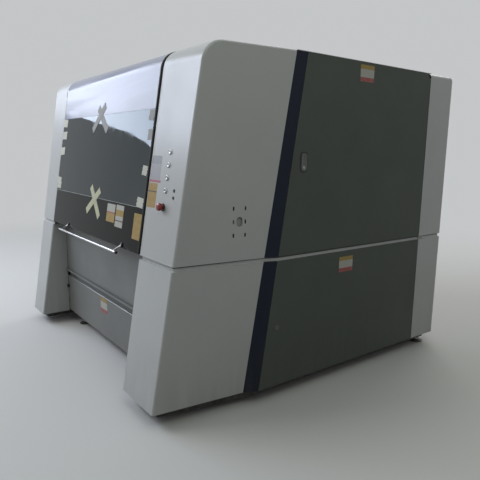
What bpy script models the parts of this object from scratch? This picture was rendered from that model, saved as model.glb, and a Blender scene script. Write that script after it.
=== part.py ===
"""Compact enclosed fiber laser cutting machine with a lift-up front door.

Metres, +Z up, origin on the floor below the middle of the body.
The front faces -Y, and +X is the right side as seen from the front.
"""
import math

import bmesh
import bpy
from mathutils import Matrix, Vector

# Overall body
HALF_WIDTH = 1.148
FRONT_FOOT_Y = -1.115
REAR_Y = 1.115
COVER_BASE_Z = 0.080
ROOF_Z = 1.870
SEAM_Z = 0.799
SEAM_GROOVE = 0.024
FRONT_LEAN = math.radians(9.0)
CROWN_RADIUS = 0.110
SHEET = 0.003
TOUCH = 0.0003
WELD = 0.00001
PANEL_GAP = 0.004
OVERRUN = 0.020
EDGE_ROUND = 0.012
ARC_STEPS = 6
FACING_SHARE = 0.5
BEVEL_PROFILE_SHARE = 0.5

# Front fairings, one each side of the door
PILLAR_WIDTH_RIGHT = 0.448
PILLAR_WIDTH_LEFT = 0.344
PILLAR_INNER_RIGHT = HALF_WIDTH - PILLAR_WIDTH_RIGHT
PILLAR_INNER_LEFT = HALF_WIDTH - PILLAR_WIDTH_LEFT
FRONT_CORNER_INSET = 0.0955
FRONT_CORNER_X = HALF_WIDTH - FRONT_CORNER_INSET
SIDE_TAPER = math.radians(6.4)
BAND_SETBACK = 0.512
BAND_WIDTH = 0.073
BAND_SINK = 0.002
JAMB_DEPTH = 0.095
RECESS_DEPTH = 0.207
RECESS_Y = FRONT_FOOT_Y + RECESS_DEPTH

# Side doors and the section behind them
REAR_COVER_DEPTH = 0.269
DOOR_REAR_Y = REAR_Y - REAR_COVER_DEPTH
SIDE_DOOR_PAN = 0.022
SIDE_DOOR_CORNER = 0.050
SIDE_DOOR_SHEET = 0.002
LATCH_SETBACK = 0.865
LATCH_Y = FRONT_FOOT_Y + LATCH_SETBACK
LATCH_Z = 1.308
LATCH_HEIGHT = 0.094
LATCH_WIDTH = 0.040
LATCH_THICK = 0.012
LATCH_PROUD = 0.004
LATCH_GAP = 0.0009
LOCK_SETBACK = 0.705
LOCK_Y = FRONT_FOOT_Y + LOCK_SETBACK
LOCK_Z = 0.417
LOCK_RADIUS = 0.012
LOCK_FLANGE = 0.016
LOCK_FLANGE_THICK = 0.003
LOCK_LENGTH = 0.026
LOCK_TONGUE_LENGTH = 0.075
LOCK_TONGUE_THICK = 0.003
REAR_CORNER = 0.025
VENT_COUNT = 9
VENT_WIDTH = 0.320
VENT_HEIGHT = 0.008
VENT_PITCH = 0.028
VENT_Z = 0.330
DUCT_RADIUS = 0.100
DUCT_LENGTH = 0.060
DUCT_WALL = 0.003
DUCT_FLANGE = 0.025
DUCT_X = -0.450
DUCT_Z = 0.360

# Recessed lower front and the slag drawer
RECESS_LIP = 0.014
RECESS_PANEL_LAP = 0.015
DRAWER_TOP = 0.373
DRAWER_GRIP_GAP = 0.044
RECESS_PANEL_FOOT = DRAWER_TOP + DRAWER_GRIP_GAP
DRAWER_FOOT = 0.095
DRAWER_LIP = 0.022
DRAWER_DEPTH = 0.900
DRAWER_TRAY_INSET = 0.100
DRAWER_TRAY_DROP = 0.030
DRAWER_TRAY_LIFT = 0.055
DRAWER_FRONT_THICK = 0.020
DRAWER_HEM = 0.004

# Frames and feet
PLINTH_INSET = 0.050
PLINTH_FOOT_Z = 0.038
PLINTH_HEIGHT = 0.080
PLINTH_TUBE = 0.060
WAIST_INSET = 0.028
WAIST_HEIGHT = 0.060
WAIST_TUBE = 0.060
POST_SIZE = 0.040
POST_FRONT_INSET = 0.0225
POST_FRONT_X = FRONT_CORNER_X - POST_FRONT_INSET
POST_FRONT_SETBACK = 0.415
POST_FRONT_Y = FRONT_FOOT_Y + POST_FRONT_SETBACK
POST_MIDDLE_SETBACK = 0.845
POST_MIDDLE_Y = FRONT_FOOT_Y + POST_MIDDLE_SETBACK
POST_REAR_OFFSET = 0.024
POST_REAR_Y = DOOR_REAR_Y + POST_REAR_OFFSET
POST_REAR_WIDTH = 0.060
ROOF_RAIL = 0.030
ROOF_RAIL_INSET = 0.098
ROOF_RAIL_X = HALF_WIDTH - ROOF_RAIL_INSET
HINGE_RAIL_DROP = 0.016
FOOT_RADIUS = 0.045
FOOT_PAD = 0.012
FOOT_STEM = 0.010
FOOT_SETBACK = 0.040
BED_FOOT_RAIL_HEIGHT = 0.120
BED_TIE_WIDTH = 0.060
BED_TIE_Y = -0.050
BED_BEAM_INSET = 0.368
BED_BEAM_X = HALF_WIDTH - BED_BEAM_INSET
BED_BEAM_WIDTH = 0.120
BED_BEAM_HEIGHT = 0.180
BED_TOP_Z = 0.900
BED_FRONT_GAP = 0.096
BED_FRONT_Y = RECESS_Y + BED_FRONT_GAP
BED_REAR_GAP = 0.475
BED_REAR_Y = REAR_Y - BED_REAR_GAP
BED_FOOT_RAIL_LAP = 0.140
BED_FOOT_RAIL_Y = BED_REAR_Y - BED_FOOT_RAIL_LAP
BED_LEG = 0.100
BED_CROSS = 0.080

# Slat table
TABLE_FRONT_GAP = 0.072
TABLE_FRONT_Y = BED_FRONT_Y + TABLE_FRONT_GAP
TABLE_REAR_GAP = 0.400
TABLE_REAR_Y = BED_REAR_Y - TABLE_REAR_GAP
TABLE_SIDE_GAP = 0.040
TABLE_HALF_X = BED_BEAM_X - BED_BEAM_WIDTH / 2 - TABLE_SIDE_GAP
TABLE_RAIL = 0.030
TABLE_RAIL_HEIGHT = 0.060
TABLE_DROP = 0.038
TABLE_RAIL_TOP = BED_TOP_Z - TABLE_DROP
SLAT_PITCH = 0.078
SLAT_THICK = 0.003
SLAT_HEIGHT = 0.060
SLAT_TOOTH = 0.060
SLAT_TOOTH_DEPTH = 0.018
SLAT_RISE = 0.030
SLAT_TOP_Z = TABLE_RAIL_TOP + SLAT_RISE

# Linear axes
RAIL_WIDTH = 0.023
RAIL_HEIGHT = 0.022
RAIL_GROOVE = 0.004
RAIL_FRONT_Y = TABLE_FRONT_Y
RAIL_REAR_GAP = 0.040
RAIL_REAR_Y = BED_REAR_Y - RAIL_REAR_GAP
RACK_SIZE = 0.020
RACK_OFFSET = 0.040
PINION_RADIUS = 0.020
PINION_HEIGHT = 0.018
PINION_BORE = 0.007
PINION_MESH_GAP = 0.0005
BEAM_Y = 0.150
BEAM_SIZE = 0.120
BEAM_WALL = 0.006
BEAM_PORT_SHARE = 0.3
BEAM_LIFT = 0.160
BEAM_Z = BED_TOP_Z + BEAM_LIFT
BEAM_END_INSET = 0.040
BEAM_HALF_X = BED_BEAM_X - BEAM_END_INSET
END_PLATE_THICK = 0.014
END_PLATE_DEPTH = 0.200
RAIL_BLOCK_LENGTH = 0.060
RAIL_BLOCK_WIDTH = 0.048
RAIL_BLOCK_CLEAR = 0.0005
END_PLATE_LIFT = 0.008
BEAM_RAIL_HEIGHT = 0.014
BEAM_RAIL_WIDTH = 0.015
BEAM_RAIL_END = 0.010
CLASP_WALL = 0.008
MOTOR_SIZE = 0.080
MOTOR_LENGTH = 0.130
MOTOR_CORNER = 0.008
MOTOR_PILOT_RADIUS = 0.028
MOTOR_PILOT_LENGTH = 0.005
MOTOR_SHAFT = 0.0067
CARRIAGE_WIDTH = 0.160
CARRIAGE_HEIGHT = 0.190
CARRIAGE_THICK = 0.014
CARRIAGE_REST_X = -0.300
BEAM_RAIL_SPACING = 0.080
HEAD_COLUMN_WIDTH = 0.100
HEAD_COLUMN_DEPTH = 0.045
HEAD_COLUMN_HEIGHT = 0.230
HEAD_RADIUS = 0.034
NOZZLE_REST_GAP = 0.016
NOZZLE_TIP_Z = SLAT_TOP_Z + NOZZLE_REST_GAP
HEAD_LIFT = 0.052
HEAD_BODY_FOOT = NOZZLE_TIP_Z + HEAD_LIFT
HEAD_BODY_LENGTH = 0.330
HEAD_BODY_TOP = HEAD_BODY_FOOT + HEAD_BODY_LENGTH
HEAD_COLUMN_LIFT = 0.025
HEAD_COLUMN_FOOT = HEAD_BODY_FOOT + HEAD_COLUMN_LIFT
HEAD_COLLAR_HEIGHT = 0.030
NOZZLE_TIP_RADIUS = 0.004
NOZZLE_SEAT_RADIUS = 0.018
NOZZLE_GRIP = 0.008
NOZZLE_NECK_SHARE = 0.6
HEAD_WAIST_SHARE = 0.85
HEAD_SOCKET_SHARE = 0.45
HEAD_COLUMN_CLEAR = 0.0006

# Front door
DOOR_BOTTOM_Z = SEAM_Z + SEAM_GROOVE / 2
LOWER_PANEL_HEIGHT = 0.241
WINDOW_BOTTOM_Z = DOOR_BOTTOM_Z + LOWER_PANEL_HEIGHT
WINDOW_TOP_DROP = 0.296
WINDOW_TOP_Z = ROOF_Z - WINDOW_TOP_DROP
WINDOW_THICK = 0.006
DOOR_SIDE_GAP = 0.005
DOOR_HINGE_SETBACK = 0.2715
DOOR_HINGE_Y = FRONT_FOOT_Y + math.tan(FRONT_LEAN) * (ROOF_Z - COVER_BASE_Z) + DOOR_HINGE_SETBACK
DOOR_OPENING = math.radians(60.0)
DOOR_HINGE_DROP = 0.030
DOOR_FRAME_DEPTH = 0.035
DOOR_FRAME_WIDTH = 0.040
DOOR_RETURN = 0.018
DOOR_RETURN_CLEAR = 0.0023
HINGE_PLATE = 0.006
HINGE_PLATE_DEPTH = 0.060
HINGE_EAR = 0.010
STRUT_LUG_WIDTH = 0.030
KNUCKLE_SHARE = 0.4
HINGE_KNUCKLE_RADIUS = 0.012
HANDLE_SETBACK = 0.063
HANDLE_Y = FRONT_FOOT_Y + HANDLE_SETBACK
HANDLE_DROP = 0.014
HANDLE_Z = DOOR_BOTTOM_Z - HANDLE_DROP
HANDLE_INSET_LEFT = 0.293
HANDLE_INSET_RIGHT = 0.176
HANDLE_ARM_INSET = 0.050
HANDLE_ARM_RISE = 0.028
HANDLE_RADIUS = 0.0065
HANDLE_ARM_RADIUS = 0.0045
HANDLE_FOOT_RADIUS = 0.012
HANDLE_FOOT_THICK = 0.004
STRUT_BASE_AHEAD = 0.010
STRUT_BASE_Y = DOOR_HINGE_Y - STRUT_BASE_AHEAD
STRUT_BASE_DROP = 0.290
STRUT_BASE_Z = ROOF_Z - STRUT_BASE_DROP
STRUT_TOP_AHEAD = 0.220
STRUT_TOP_Y = DOOR_HINGE_Y - STRUT_TOP_AHEAD
STRUT_TOP_DROP = 0.130
STRUT_TOP_Z = ROOF_Z - STRUT_TOP_DROP
STRUT_TUBE_LENGTH = 0.225
STRUT_ROD_CLEAR = 0.0006
STRUT_TUBE_RADIUS = 0.011
STRUT_ROD_RADIUS = 0.005
STRUT_EYE_RADIUS = 0.009
STRUT_EYE_WIDTH = 0.012
STRUT_JAMB_GAP = 0.018

# Operating buttons on the right fairing
BUTTON_INSET = 0.200
BUTTON_X = PILLAR_INNER_RIGHT + BUTTON_INSET
BUTTON_TOP_Z = 1.351
BUTTON_PITCH = 0.063
BUTTON_COUNT = 4
BUTTON_RADIUS = 0.0095
BUTTON_HOLE = 0.0098
BUTTON_PROUD = 0.004
BUTTON_LENGTH = 0.030
STOP_INSET = 0.195
STOP_X = PILLAR_INNER_RIGHT + STOP_INSET
STOP_Z = 1.080
STOP_RADIUS = 0.020
STOP_CAP = 0.018
STOP_NECK_RADIUS = BUTTON_RADIUS
STOP_TRAVEL_GAP = 0.010
STOP_DOME = 0.004
DOME_SHARE = 0.6
SKIRT_SHARE = 0.85
STOP_LENGTH = 0.042
KEYHOLE_INSET = 0.283
KEYHOLE_X = PILLAR_INNER_RIGHT + KEYHOLE_INSET
KEYHOLE_RADIUS = 0.006
KEYHOLE_Z = 1.133
KEYHOLE_PITCH = 0.034
ARM_HOLE_SETBACK = 0.475
ARM_HOLE_Y = FRONT_FOOT_Y + ARM_HOLE_SETBACK
ARM_HOLE_Z = 1.010
ARM_HOLE_PITCH = 0.068
ARM_SLOT_WIDTH = 0.009
ARM_SLOT_HEIGHT = 0.022
ARM_CABLE_WIDTH = 0.036
ARM_CABLE_HEIGHT = 0.050
SLOT_STEPS = 16

# Chamber and cabinet contents
LINER_INSET = 0.203
LINER_X = HALF_WIDTH - LINER_INSET
LINER_FRONT_GAP = 0.060
LINER_FRONT_Y = DOOR_HINGE_Y + LINER_FRONT_GAP
LINER_REAR_GAP = 0.086
LINER_REAR_Y = DOOR_REAR_Y - LINER_REAR_GAP
LINER_FLANGE_INSET = 0.076
LINER_FLANGE_X = HALF_WIDTH - LINER_FLANGE_INSET
LINER_FLANGE_REAR_INSET = 0.070
LINER_FLANGE_Y = REAR_Y - LINER_FLANGE_REAR_INSET
LINER_TOP_DROP = 0.090
LINER_TOP_Z = ROOF_Z - LINER_TOP_DROP
LINER_SHEET = 0.003
SOURCE_WIDTH = 0.480
SOURCE_DEPTH = 0.260
SOURCE_HEIGHT = 0.360
SOURCE_X = 0.250
CABINET_DEPTH = 0.120
CABINET_LENGTH = 0.700
CABINET_HEIGHT = 0.480
CABINET_Y = 0.150
CABINET_DOOR_GAP = 0.010


def front_y(z):
    """Y of the leaning front at height z."""
    return FRONT_FOOT_Y + math.tan(FRONT_LEAN) * (z - COVER_BASE_Z)


def side_x(y):
    """X of the fairing's side plane, tapered in plan, at depth y."""
    return FRONT_CORNER_X + math.tan(SIDE_TAPER) * (y - FRONT_FOOT_Y)


def band_y(z):
    """Y of the front edge of the dark band, parallel to the front."""
    return front_y(z) + BAND_SETBACK


SEAM_LOW = SEAM_Z - SEAM_GROOVE / 2
SEAM_HIGH = SEAM_Z + SEAM_GROOVE / 2
DOOR_LEFT_X = DOOR_SIDE_GAP - PILLAR_INNER_LEFT
DOOR_RIGHT_X = PILLAR_INNER_RIGHT - DOOR_SIDE_GAP
DOOR_MIDDLE_X = (DOOR_LEFT_X + DOOR_RIGHT_X) / 2
DOOR_WIDTH = DOOR_RIGHT_X - DOOR_LEFT_X
HANDLE_LEFT_X = DOOR_LEFT_X + HANDLE_INSET_LEFT
HANDLE_RIGHT_X = DOOR_RIGHT_X - HANDLE_INSET_RIGHT
HANDLE_ARM_LEFT_X = HANDLE_LEFT_X + HANDLE_ARM_INSET
HANDLE_ARM_RIGHT_X = HANDLE_RIGHT_X - HANDLE_ARM_INSET
STRUT_LEFT_X = DOOR_LEFT_X + STRUT_JAMB_GAP
STRUT_RIGHT_X = DOOR_RIGHT_X - STRUT_JAMB_GAP
DOOR_HINGE_Z = ROOF_Z - DOOR_HINGE_DROP
END_PLATE_TOP = BED_TOP_Z + RAIL_HEIGHT + END_PLATE_LIFT + END_PLATE_THICK
LEAN_OUT = Vector((0, -math.cos(FRONT_LEAN), math.sin(FRONT_LEAN)))


def crown_line(inset, start_z, end_y):
    """Front line, crown arc and roof line, `inset` below the outer skin, from
    the height start_z to the depth end_y, as (y, z) points."""
    centre_z = ROOF_Z - CROWN_RADIUS
    centre_y = front_y(centre_z) + CROWN_RADIUS / math.cos(FRONT_LEAN)
    radius = CROWN_RADIUS - inset
    points = [(front_y(start_z) + inset / math.cos(FRONT_LEAN), start_z)]
    first, last = math.pi - FRONT_LEAN, math.pi / 2
    for step in range(ARC_STEPS + 1):
        angle = first + (last - first) * step / ARC_STEPS
        points.append((centre_y + radius * math.cos(angle), centre_z + radius * math.sin(angle)))
    points.append((end_y, ROOF_Z - inset))
    return points


# Scene, materials and general shapes

def clear_scene():
    for item in list(bpy.data.objects):
        bpy.data.objects.remove(item, do_unlink=True)


def new_collection(name):
    group = bpy.data.collections.new(name)
    bpy.context.scene.collection.children.link(group)
    return group


def finish(name, colour, roughness, metallic=0.0):
    """A Principled material; each piece gets one of its own."""
    surface = bpy.data.materials.new(name)
    surface.use_nodes = True
    shader = surface.node_tree.nodes["Principled BSDF"]
    shader.inputs["Base Color"].default_value = (*colour, 1.0)
    shader.inputs["Roughness"].default_value = roughness
    shader.inputs["Metallic"].default_value = metallic
    return surface


LOOKS = {
    "white": ((0.80, 0.81, 0.82), 0.45, 0.0),
    "grey": ((0.20, 0.21, 0.21), 0.50, 0.0),
    "navy": ((0.012, 0.016, 0.05), 0.45, 0.0),
    "black": ((0.015, 0.015, 0.016), 0.5, 0.0),
    "gloss_black": ((0.012, 0.012, 0.013), 0.08, 0.0),
    "glass": ((0.05, 0.07, 0.08), 0.05, 0.0),
    "steel": ((0.55, 0.56, 0.57), 0.30, 1.0),
    "bright": ((0.75, 0.75, 0.76), 0.15, 1.0),
    "aluminium": ((0.70, 0.71, 0.72), 0.35, 1.0),
    "brass": ((0.70, 0.42, 0.20), 0.25, 1.0),
    "red": ((0.55, 0.01, 0.01), 0.35, 0.0),
    "bed_paint": ((0.35, 0.36, 0.37), 0.55, 0.0),
}


def add_object(name, mesh, look, origin=(0, 0, 0)):
    """Link a mesh modelled in world coordinates, with its origin moved to `origin`."""
    mesh.transform(Matrix.Translation(-Vector(origin)))
    item = bpy.data.objects.new(name, mesh)
    item.location = origin
    PARTS.objects.link(item)
    mesh.materials.clear()
    mesh.materials.append(finish(name + "_finish", *LOOKS[look]))
    return item


def mesh_of(bm, name="shape"):
    mesh = bpy.data.meshes.new(name)
    bm.to_mesh(mesh)
    bm.free()
    return mesh


def block(size, centre, matrix=None):
    """A closed box mesh in world coordinates."""
    bm = bmesh.new()
    bmesh.ops.create_cube(bm, size=1.0)
    bmesh.ops.scale(bm, vec=size, verts=bm.verts)
    if matrix is not None:
        bmesh.ops.transform(bm, matrix=matrix, verts=bm.verts)
    bmesh.ops.translate(bm, vec=centre, verts=bm.verts)
    return mesh_of(bm)


def block_between(low, high):
    """A box mesh from its low corner to its high corner."""
    low, high = Vector(low), Vector(high)
    return block(high - low, (low + high) / 2)


def round_bar(start, end, radius, segments=16, end_radius=None):
    """A closed cylinder or cone mesh from start to end."""
    start, end = Vector(start), Vector(end)
    run = end - start
    bm = bmesh.new()
    top = radius if end_radius is None else end_radius
    bmesh.ops.create_cone(bm, cap_ends=True, segments=segments, radius1=radius, radius2=top,
                          depth=run.length)
    turn = run.to_track_quat("Z", "Y").to_matrix().to_4x4()
    bmesh.ops.transform(bm, matrix=Matrix.Translation((start + end) / 2) @ turn, verts=bm.verts)
    return mesh_of(bm)


def turned(profile, axis_point, axis, segments=24):
    """A turned mesh: (radius, height) points spun about an axis through axis_point."""
    bm = bmesh.new()
    verts = [bm.verts.new((radius, 0, height)) for radius, height in profile]
    edges = [bm.edges.new(pair) for pair in zip(verts, verts[1:])]
    bmesh.ops.spin(bm, geom=verts + edges, cent=(0, 0, 0), axis=(0, 0, 1), angle=2 * math.pi,
                   steps=segments, use_merge=True)
    bmesh.ops.remove_doubles(bm, verts=bm.verts, dist=WELD)
    bmesh.ops.recalc_face_normals(bm, faces=bm.faces)
    turn = Vector(axis).to_track_quat("Z", "Y").to_matrix().to_4x4()
    bmesh.ops.transform(bm, matrix=Matrix.Translation(axis_point) @ turn, verts=bm.verts)
    return mesh_of(bm)


ALONG_X = Matrix(((0, 0, 1, 0), (1, 0, 0, 0), (0, 1, 0, 0), (0, 0, 0, 1)))
ALONG_Y = Matrix(((1, 0, 0, 0), (0, 0, -1, 0), (0, 1, 0, 0), (0, 0, 0, 1)))
ALONG_Z = Matrix.Identity(4)


def prism(outline, along, start, end, holes=()):
    """An outline drawn as a filled 2D curve and extruded from start to end.

    along ALONG_X takes (y, z) points, ALONG_Y (x, z) points and ALONG_Z (x, y) points.
    """
    curve = bpy.data.curves.new("outline", "CURVE")
    curve.dimensions = "2D"
    curve.fill_mode = "BOTH"
    curve.extrude = abs(end - start) / 2
    for loop in (outline, *holes):
        spline = curve.splines.new("POLY")
        spline.points.add(len(loop) - 1)
        for point, place in zip(spline.points, loop):
            point.co = (*place, 0, 1)
        spline.use_cyclic_u = True
    item = bpy.data.objects.new("outline", curve)
    bpy.context.scene.collection.objects.link(item)
    bpy.context.view_layer.update()
    mesh = bpy.data.meshes.new_from_object(item.evaluated_get(bpy.context.evaluated_depsgraph_get()))
    bpy.data.objects.remove(item)
    middle = (start + end) / 2
    if along is ALONG_Y:
        middle = -middle
    bm = bmesh.new()
    bm.from_mesh(mesh)
    bmesh.ops.remove_doubles(bm, verts=bm.verts, dist=WELD)
    bmesh.ops.transform(bm, matrix=along @ Matrix.Translation((0, 0, middle)), verts=bm.verts)
    bmesh.ops.recalc_face_normals(bm, faces=bm.faces)
    return mesh_of(bm)


def merged(meshes):
    """Several closed meshes in one, not yet fused."""
    bm = bmesh.new()
    for mesh in meshes:
        bm.from_mesh(mesh)
    return mesh_of(bm)


def boolean(item, mesh, operation, self_crossing=False):
    """Cut or fuse a mesh given in world coordinates with an object."""
    tool = bpy.data.objects.new(item.name + "_" + operation.lower(), mesh)
    tool.hide_render = True
    tool.display_type = "WIRE"
    CUTTERS.objects.link(tool)
    step = item.modifiers.new(operation.title(), "BOOLEAN")
    step.operation = operation
    step.solver = "EXACT"
    step.use_self = self_crossing
    step.object = tool
    return item


def cut(item, *meshes):
    return boolean(item, merged(meshes), "DIFFERENCE")


def fuse(item, *meshes):
    return boolean(item, merged(meshes), "UNION", self_crossing=True)


def face_outward(bm, direction):
    """Turn an open shell so that its faces on the `direction` side look that way."""
    bmesh.ops.recalc_face_normals(bm, faces=bm.faces)
    lean = sum(face.normal.dot(direction) * face.calc_area() for face in bm.faces)
    if lean < 0:
        bmesh.ops.reverse_faces(bm, faces=bm.faces)


def solidify(item, thickness):
    step = item.modifiers.new("Sheet", "SOLIDIFY")
    step.thickness = thickness
    step.offset = -1.0
    step.use_even_offset = True
    step.use_quality_normals = True
    return item


def bevel_edges(bm, edges, width, segments=3):
    bmesh.ops.bevel(bm, geom=edges, offset=width, offset_type="OFFSET", segments=segments,
                    profile=BEVEL_PROFILE_SHARE, affect="EDGES", clamp_overlap=True, material=-1)


# Front fairings and bands

def fairing_shell(side, inner_x, front_line, jamb_line, rear_points):
    """The bent sheet of a fairing: a jamb, the front and an outer side.

    The front line is extruded sideways to the tapered side plane, and the jamb is
    extruded back from its inner edge.
    """
    bm = bmesh.new()
    inner = [bm.verts.new((side * inner_x, y, z)) for y, z in front_line]
    inner_edges = [bm.edges.new(pair) for pair in zip(inner, inner[1:])]
    made = bmesh.ops.extrude_edge_only(bm, edges=inner_edges)["geom"]
    outer = [item for item in made if isinstance(item, bmesh.types.BMVert)]
    for vert in outer:
        vert.co.x = side * side_x(vert.co.y)
    made = bmesh.ops.extrude_edge_only(bm, edges=inner_edges)["geom"]
    for vert in [item for item in made if isinstance(item, bmesh.types.BMVert)]:
        nearest = min(range(len(front_line)), key=lambda k: (Vector(front_line[k]) - vert.co.yz).length)
        vert.co.y, vert.co.z = jamb_line[nearest]
    outer.sort(key=lambda vert: front_order(vert, front_line))
    rear = [bm.verts.new((side * side_x(y), y, z)) for y, z in rear_points]
    bm.faces.new(outer + rear)
    bm.edges.ensure_lookup_table()
    face_outward(bm, Vector((side, -1, 0)))
    corner = [e for e in bm.edges if all(v in outer for v in e.verts) and len(e.link_faces) == 2]
    jamb = [e for e in bm.edges if all(v in inner for v in e.verts) and len(e.link_faces) == 2]
    bevel_edges(bm, corner + jamb, EDGE_ROUND)
    return mesh_of(bm)


def front_order(vert, front_line):
    gaps = [(Vector(point) - vert.co.yz).length for point in front_line]
    return gaps.index(min(gaps))


def lower_fairing(name, side, inner_x):
    line = [(front_y(COVER_BASE_Z), COVER_BASE_Z), (front_y(SEAM_LOW), SEAM_LOW)]
    jamb = [(RECESS_Y - TOUCH, COVER_BASE_Z), (RECESS_Y - TOUCH, SEAM_LOW)]
    rear = [(band_y(SEAM_LOW), SEAM_LOW), (band_y(COVER_BASE_Z), COVER_BASE_Z)]
    item = add_object(name, fairing_shell(side, inner_x, line, jamb, rear), "white")
    return solidify(item, SHEET)


def upper_fairing(name, side, inner_x):
    line = crown_line(0, SEAM_HIGH, band_y(ROOF_Z))
    jamb = crown_line(JAMB_DEPTH, SEAM_HIGH, band_y(ROOF_Z))
    rear = [(band_y(SEAM_HIGH), SEAM_HIGH)]
    item = add_object(name, fairing_shell(side, inner_x, line, jamb, rear), "white")
    solidify(item, SHEET)
    return cut(item, block_between(*hinge_rail(TOUCH)))


def button_places():
    return [BUTTON_TOP_Z - k * BUTTON_PITCH for k in range(BUTTON_COUNT)]


def front_point(x, z, out=0.0):
    """A point on the leaning front at height z, moved out along its normal."""
    return Vector((x, front_y(z), z)) + LEAN_OUT * out


def front_bore(x, z, radius, segments=16):
    return round_bar(front_point(x, z, -OVERRUN), front_point(x, z, OVERRUN), radius, segments)


def side_slot(y, z, width, height):
    """An upright cutter with round ends, square to the right fairing's side plane."""
    normal = Vector((math.cos(SIDE_TAPER), -math.sin(SIDE_TAPER), 0))
    along = Vector((math.sin(SIDE_TAPER), math.cos(SIDE_TAPER), 0))
    start = Vector((side_x(y), y, z)) - normal * OVERRUN
    radius = width / 2
    bm = bmesh.new()
    ring = []
    for step in range(SLOT_STEPS):
        angle = 2 * math.pi * (step + 1 / 2) / SLOT_STEPS
        rise = radius * math.sin(angle)
        lift = math.copysign(height / 2 - radius, rise)
        ring.append(bm.verts.new(start + along * radius * math.cos(angle) + Vector((0, 0, rise + lift))))
    made = bmesh.ops.extrude_face_region(bm, geom=[bm.faces.new(ring)])["geom"]
    bmesh.ops.translate(bm, vec=normal * 2 * OVERRUN,
                        verts=[item for item in made if isinstance(item, bmesh.types.BMVert)])
    bmesh.ops.recalc_face_normals(bm, faces=bm.faces)
    return mesh_of(bm)


def drill_controls(fairing):
    """Holes for the buttons, the emergency stop and the console arm."""
    bores = [front_bore(BUTTON_X, z, BUTTON_HOLE) for z in button_places()]
    bores.append(front_bore(STOP_X, STOP_Z, BUTTON_HOLE))
    bores += [front_bore(KEYHOLE_X, KEYHOLE_Z + k * KEYHOLE_PITCH, KEYHOLE_RADIUS, 10) for k in range(2)]
    for column in (-1, 1):
        for row in (-1, 0, 1):
            y = ARM_HOLE_Y + column * ARM_HOLE_PITCH / 2
            z = ARM_HOLE_Z + row * ARM_HOLE_PITCH
            bores.append(side_slot(y, z, ARM_SLOT_WIDTH, ARM_SLOT_HEIGHT))
    bores.append(side_slot(ARM_HOLE_Y, ARM_HOLE_Z, ARM_CABLE_WIDTH, ARM_CABLE_HEIGHT))
    cut(fairing, *bores)


def band(name, side, low_z, high_z):
    """The dark strip between a fairing and a side door, turned back at its rear edge."""
    bm = bmesh.new()
    rows = []
    for z in (low_z, high_z):
        front = band_y(z) + TOUCH
        rear = front + BAND_WIDTH - TOUCH
        places = ((side_x(front) - BAND_SINK, front), (HALF_WIDTH - BAND_SINK, rear),
                  (HALF_WIDTH - SIDE_DOOR_PAN, rear))
        rows.append([bm.verts.new((side * x, y, z)) for x, y in places])
    for k in range(2):
        bm.faces.new((rows[0][k], rows[0][k + 1], rows[1][k + 1], rows[1][k]))
    face_outward(bm, Vector((side, 0, 0)))
    return solidify(add_object(name, mesh_of(bm), "navy"), SHEET)


# Side doors with their latches and locks

def side_door_outline(low_z, high_z, rounded):
    """Door outline as (y, z): slanted front edge, square or rounded rear top corner."""
    rear = DOOR_REAR_Y
    front_low = band_y(low_z) + BAND_WIDTH + PANEL_GAP
    front_high = band_y(high_z) + BAND_WIDTH + PANEL_GAP
    points = [(front_low, low_z), (rear, low_z)]
    if rounded:
        radius = SIDE_DOOR_CORNER
        for step in range(ARC_STEPS + 1):
            angle = math.pi / 2 * step / ARC_STEPS
            points.append((rear - radius * (1 - math.cos(angle)), high_z - radius * (1 - math.sin(angle))))
    else:
        points.append((rear, high_z))
    points.append((front_high, high_z))
    return points


def side_door(name, side, low_z, high_z, rounded):
    """A folded pan whose hinge line is its rear outer corner."""
    bm = bmesh.new()
    outline = side_door_outline(low_z, high_z, rounded)
    skin = bm.faces.new([bm.verts.new((side * HALF_WIDTH, y, z)) for y, z in outline])
    rim = list(skin.edges)
    made = bmesh.ops.extrude_edge_only(bm, edges=rim)["geom"]
    for vert in [item for item in made if isinstance(item, bmesh.types.BMVert)]:
        vert.co.x = side * (HALF_WIDTH - SIDE_DOOR_PAN)
    face_outward(bm, Vector((side, 0, 0)))
    bevel_edges(bm, rim, SHEET, 2)
    hinge = (side * HALF_WIDTH, DOOR_REAR_Y, low_z)
    return solidify(add_object(name, mesh_of(bm), "grey", hinge), SIDE_DOOR_SHEET)


def paddle_latch(name, side, door):
    """A paddle that fills a window in the door and tips out about its top edge."""
    outer = side * (HALF_WIDTH + LATCH_PROUD)
    inner = side * (HALF_WIDTH + LATCH_PROUD - LATCH_THICK)
    half_width, half_height = LATCH_WIDTH / 2, LATCH_HEIGHT / 2
    low = (min(inner, outer), LATCH_Y - half_width, LATCH_Z - half_height)
    high = (max(inner, outer), LATCH_Y + half_width, LATCH_Z + half_height)
    bm = bmesh.new()
    bm.from_mesh(block_between(low, high))
    top_edges = [e for e in bm.edges if all(abs(v.co.x - outer) < WELD for v in e.verts)]
    bevel_edges(bm, top_edges, LATCH_THICK / 4, 2)
    pivot = (outer, LATCH_Y, LATCH_Z + half_height)
    paddle = add_object(name, mesh_of(bm), "steel", pivot)
    window = block((2 * OVERRUN, LATCH_WIDTH + 2 * LATCH_GAP, LATCH_HEIGHT + 2 * LATCH_GAP),
                   (side * HALF_WIDTH, LATCH_Y, LATCH_Z))
    cut(door, window)
    return paddle


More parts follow.
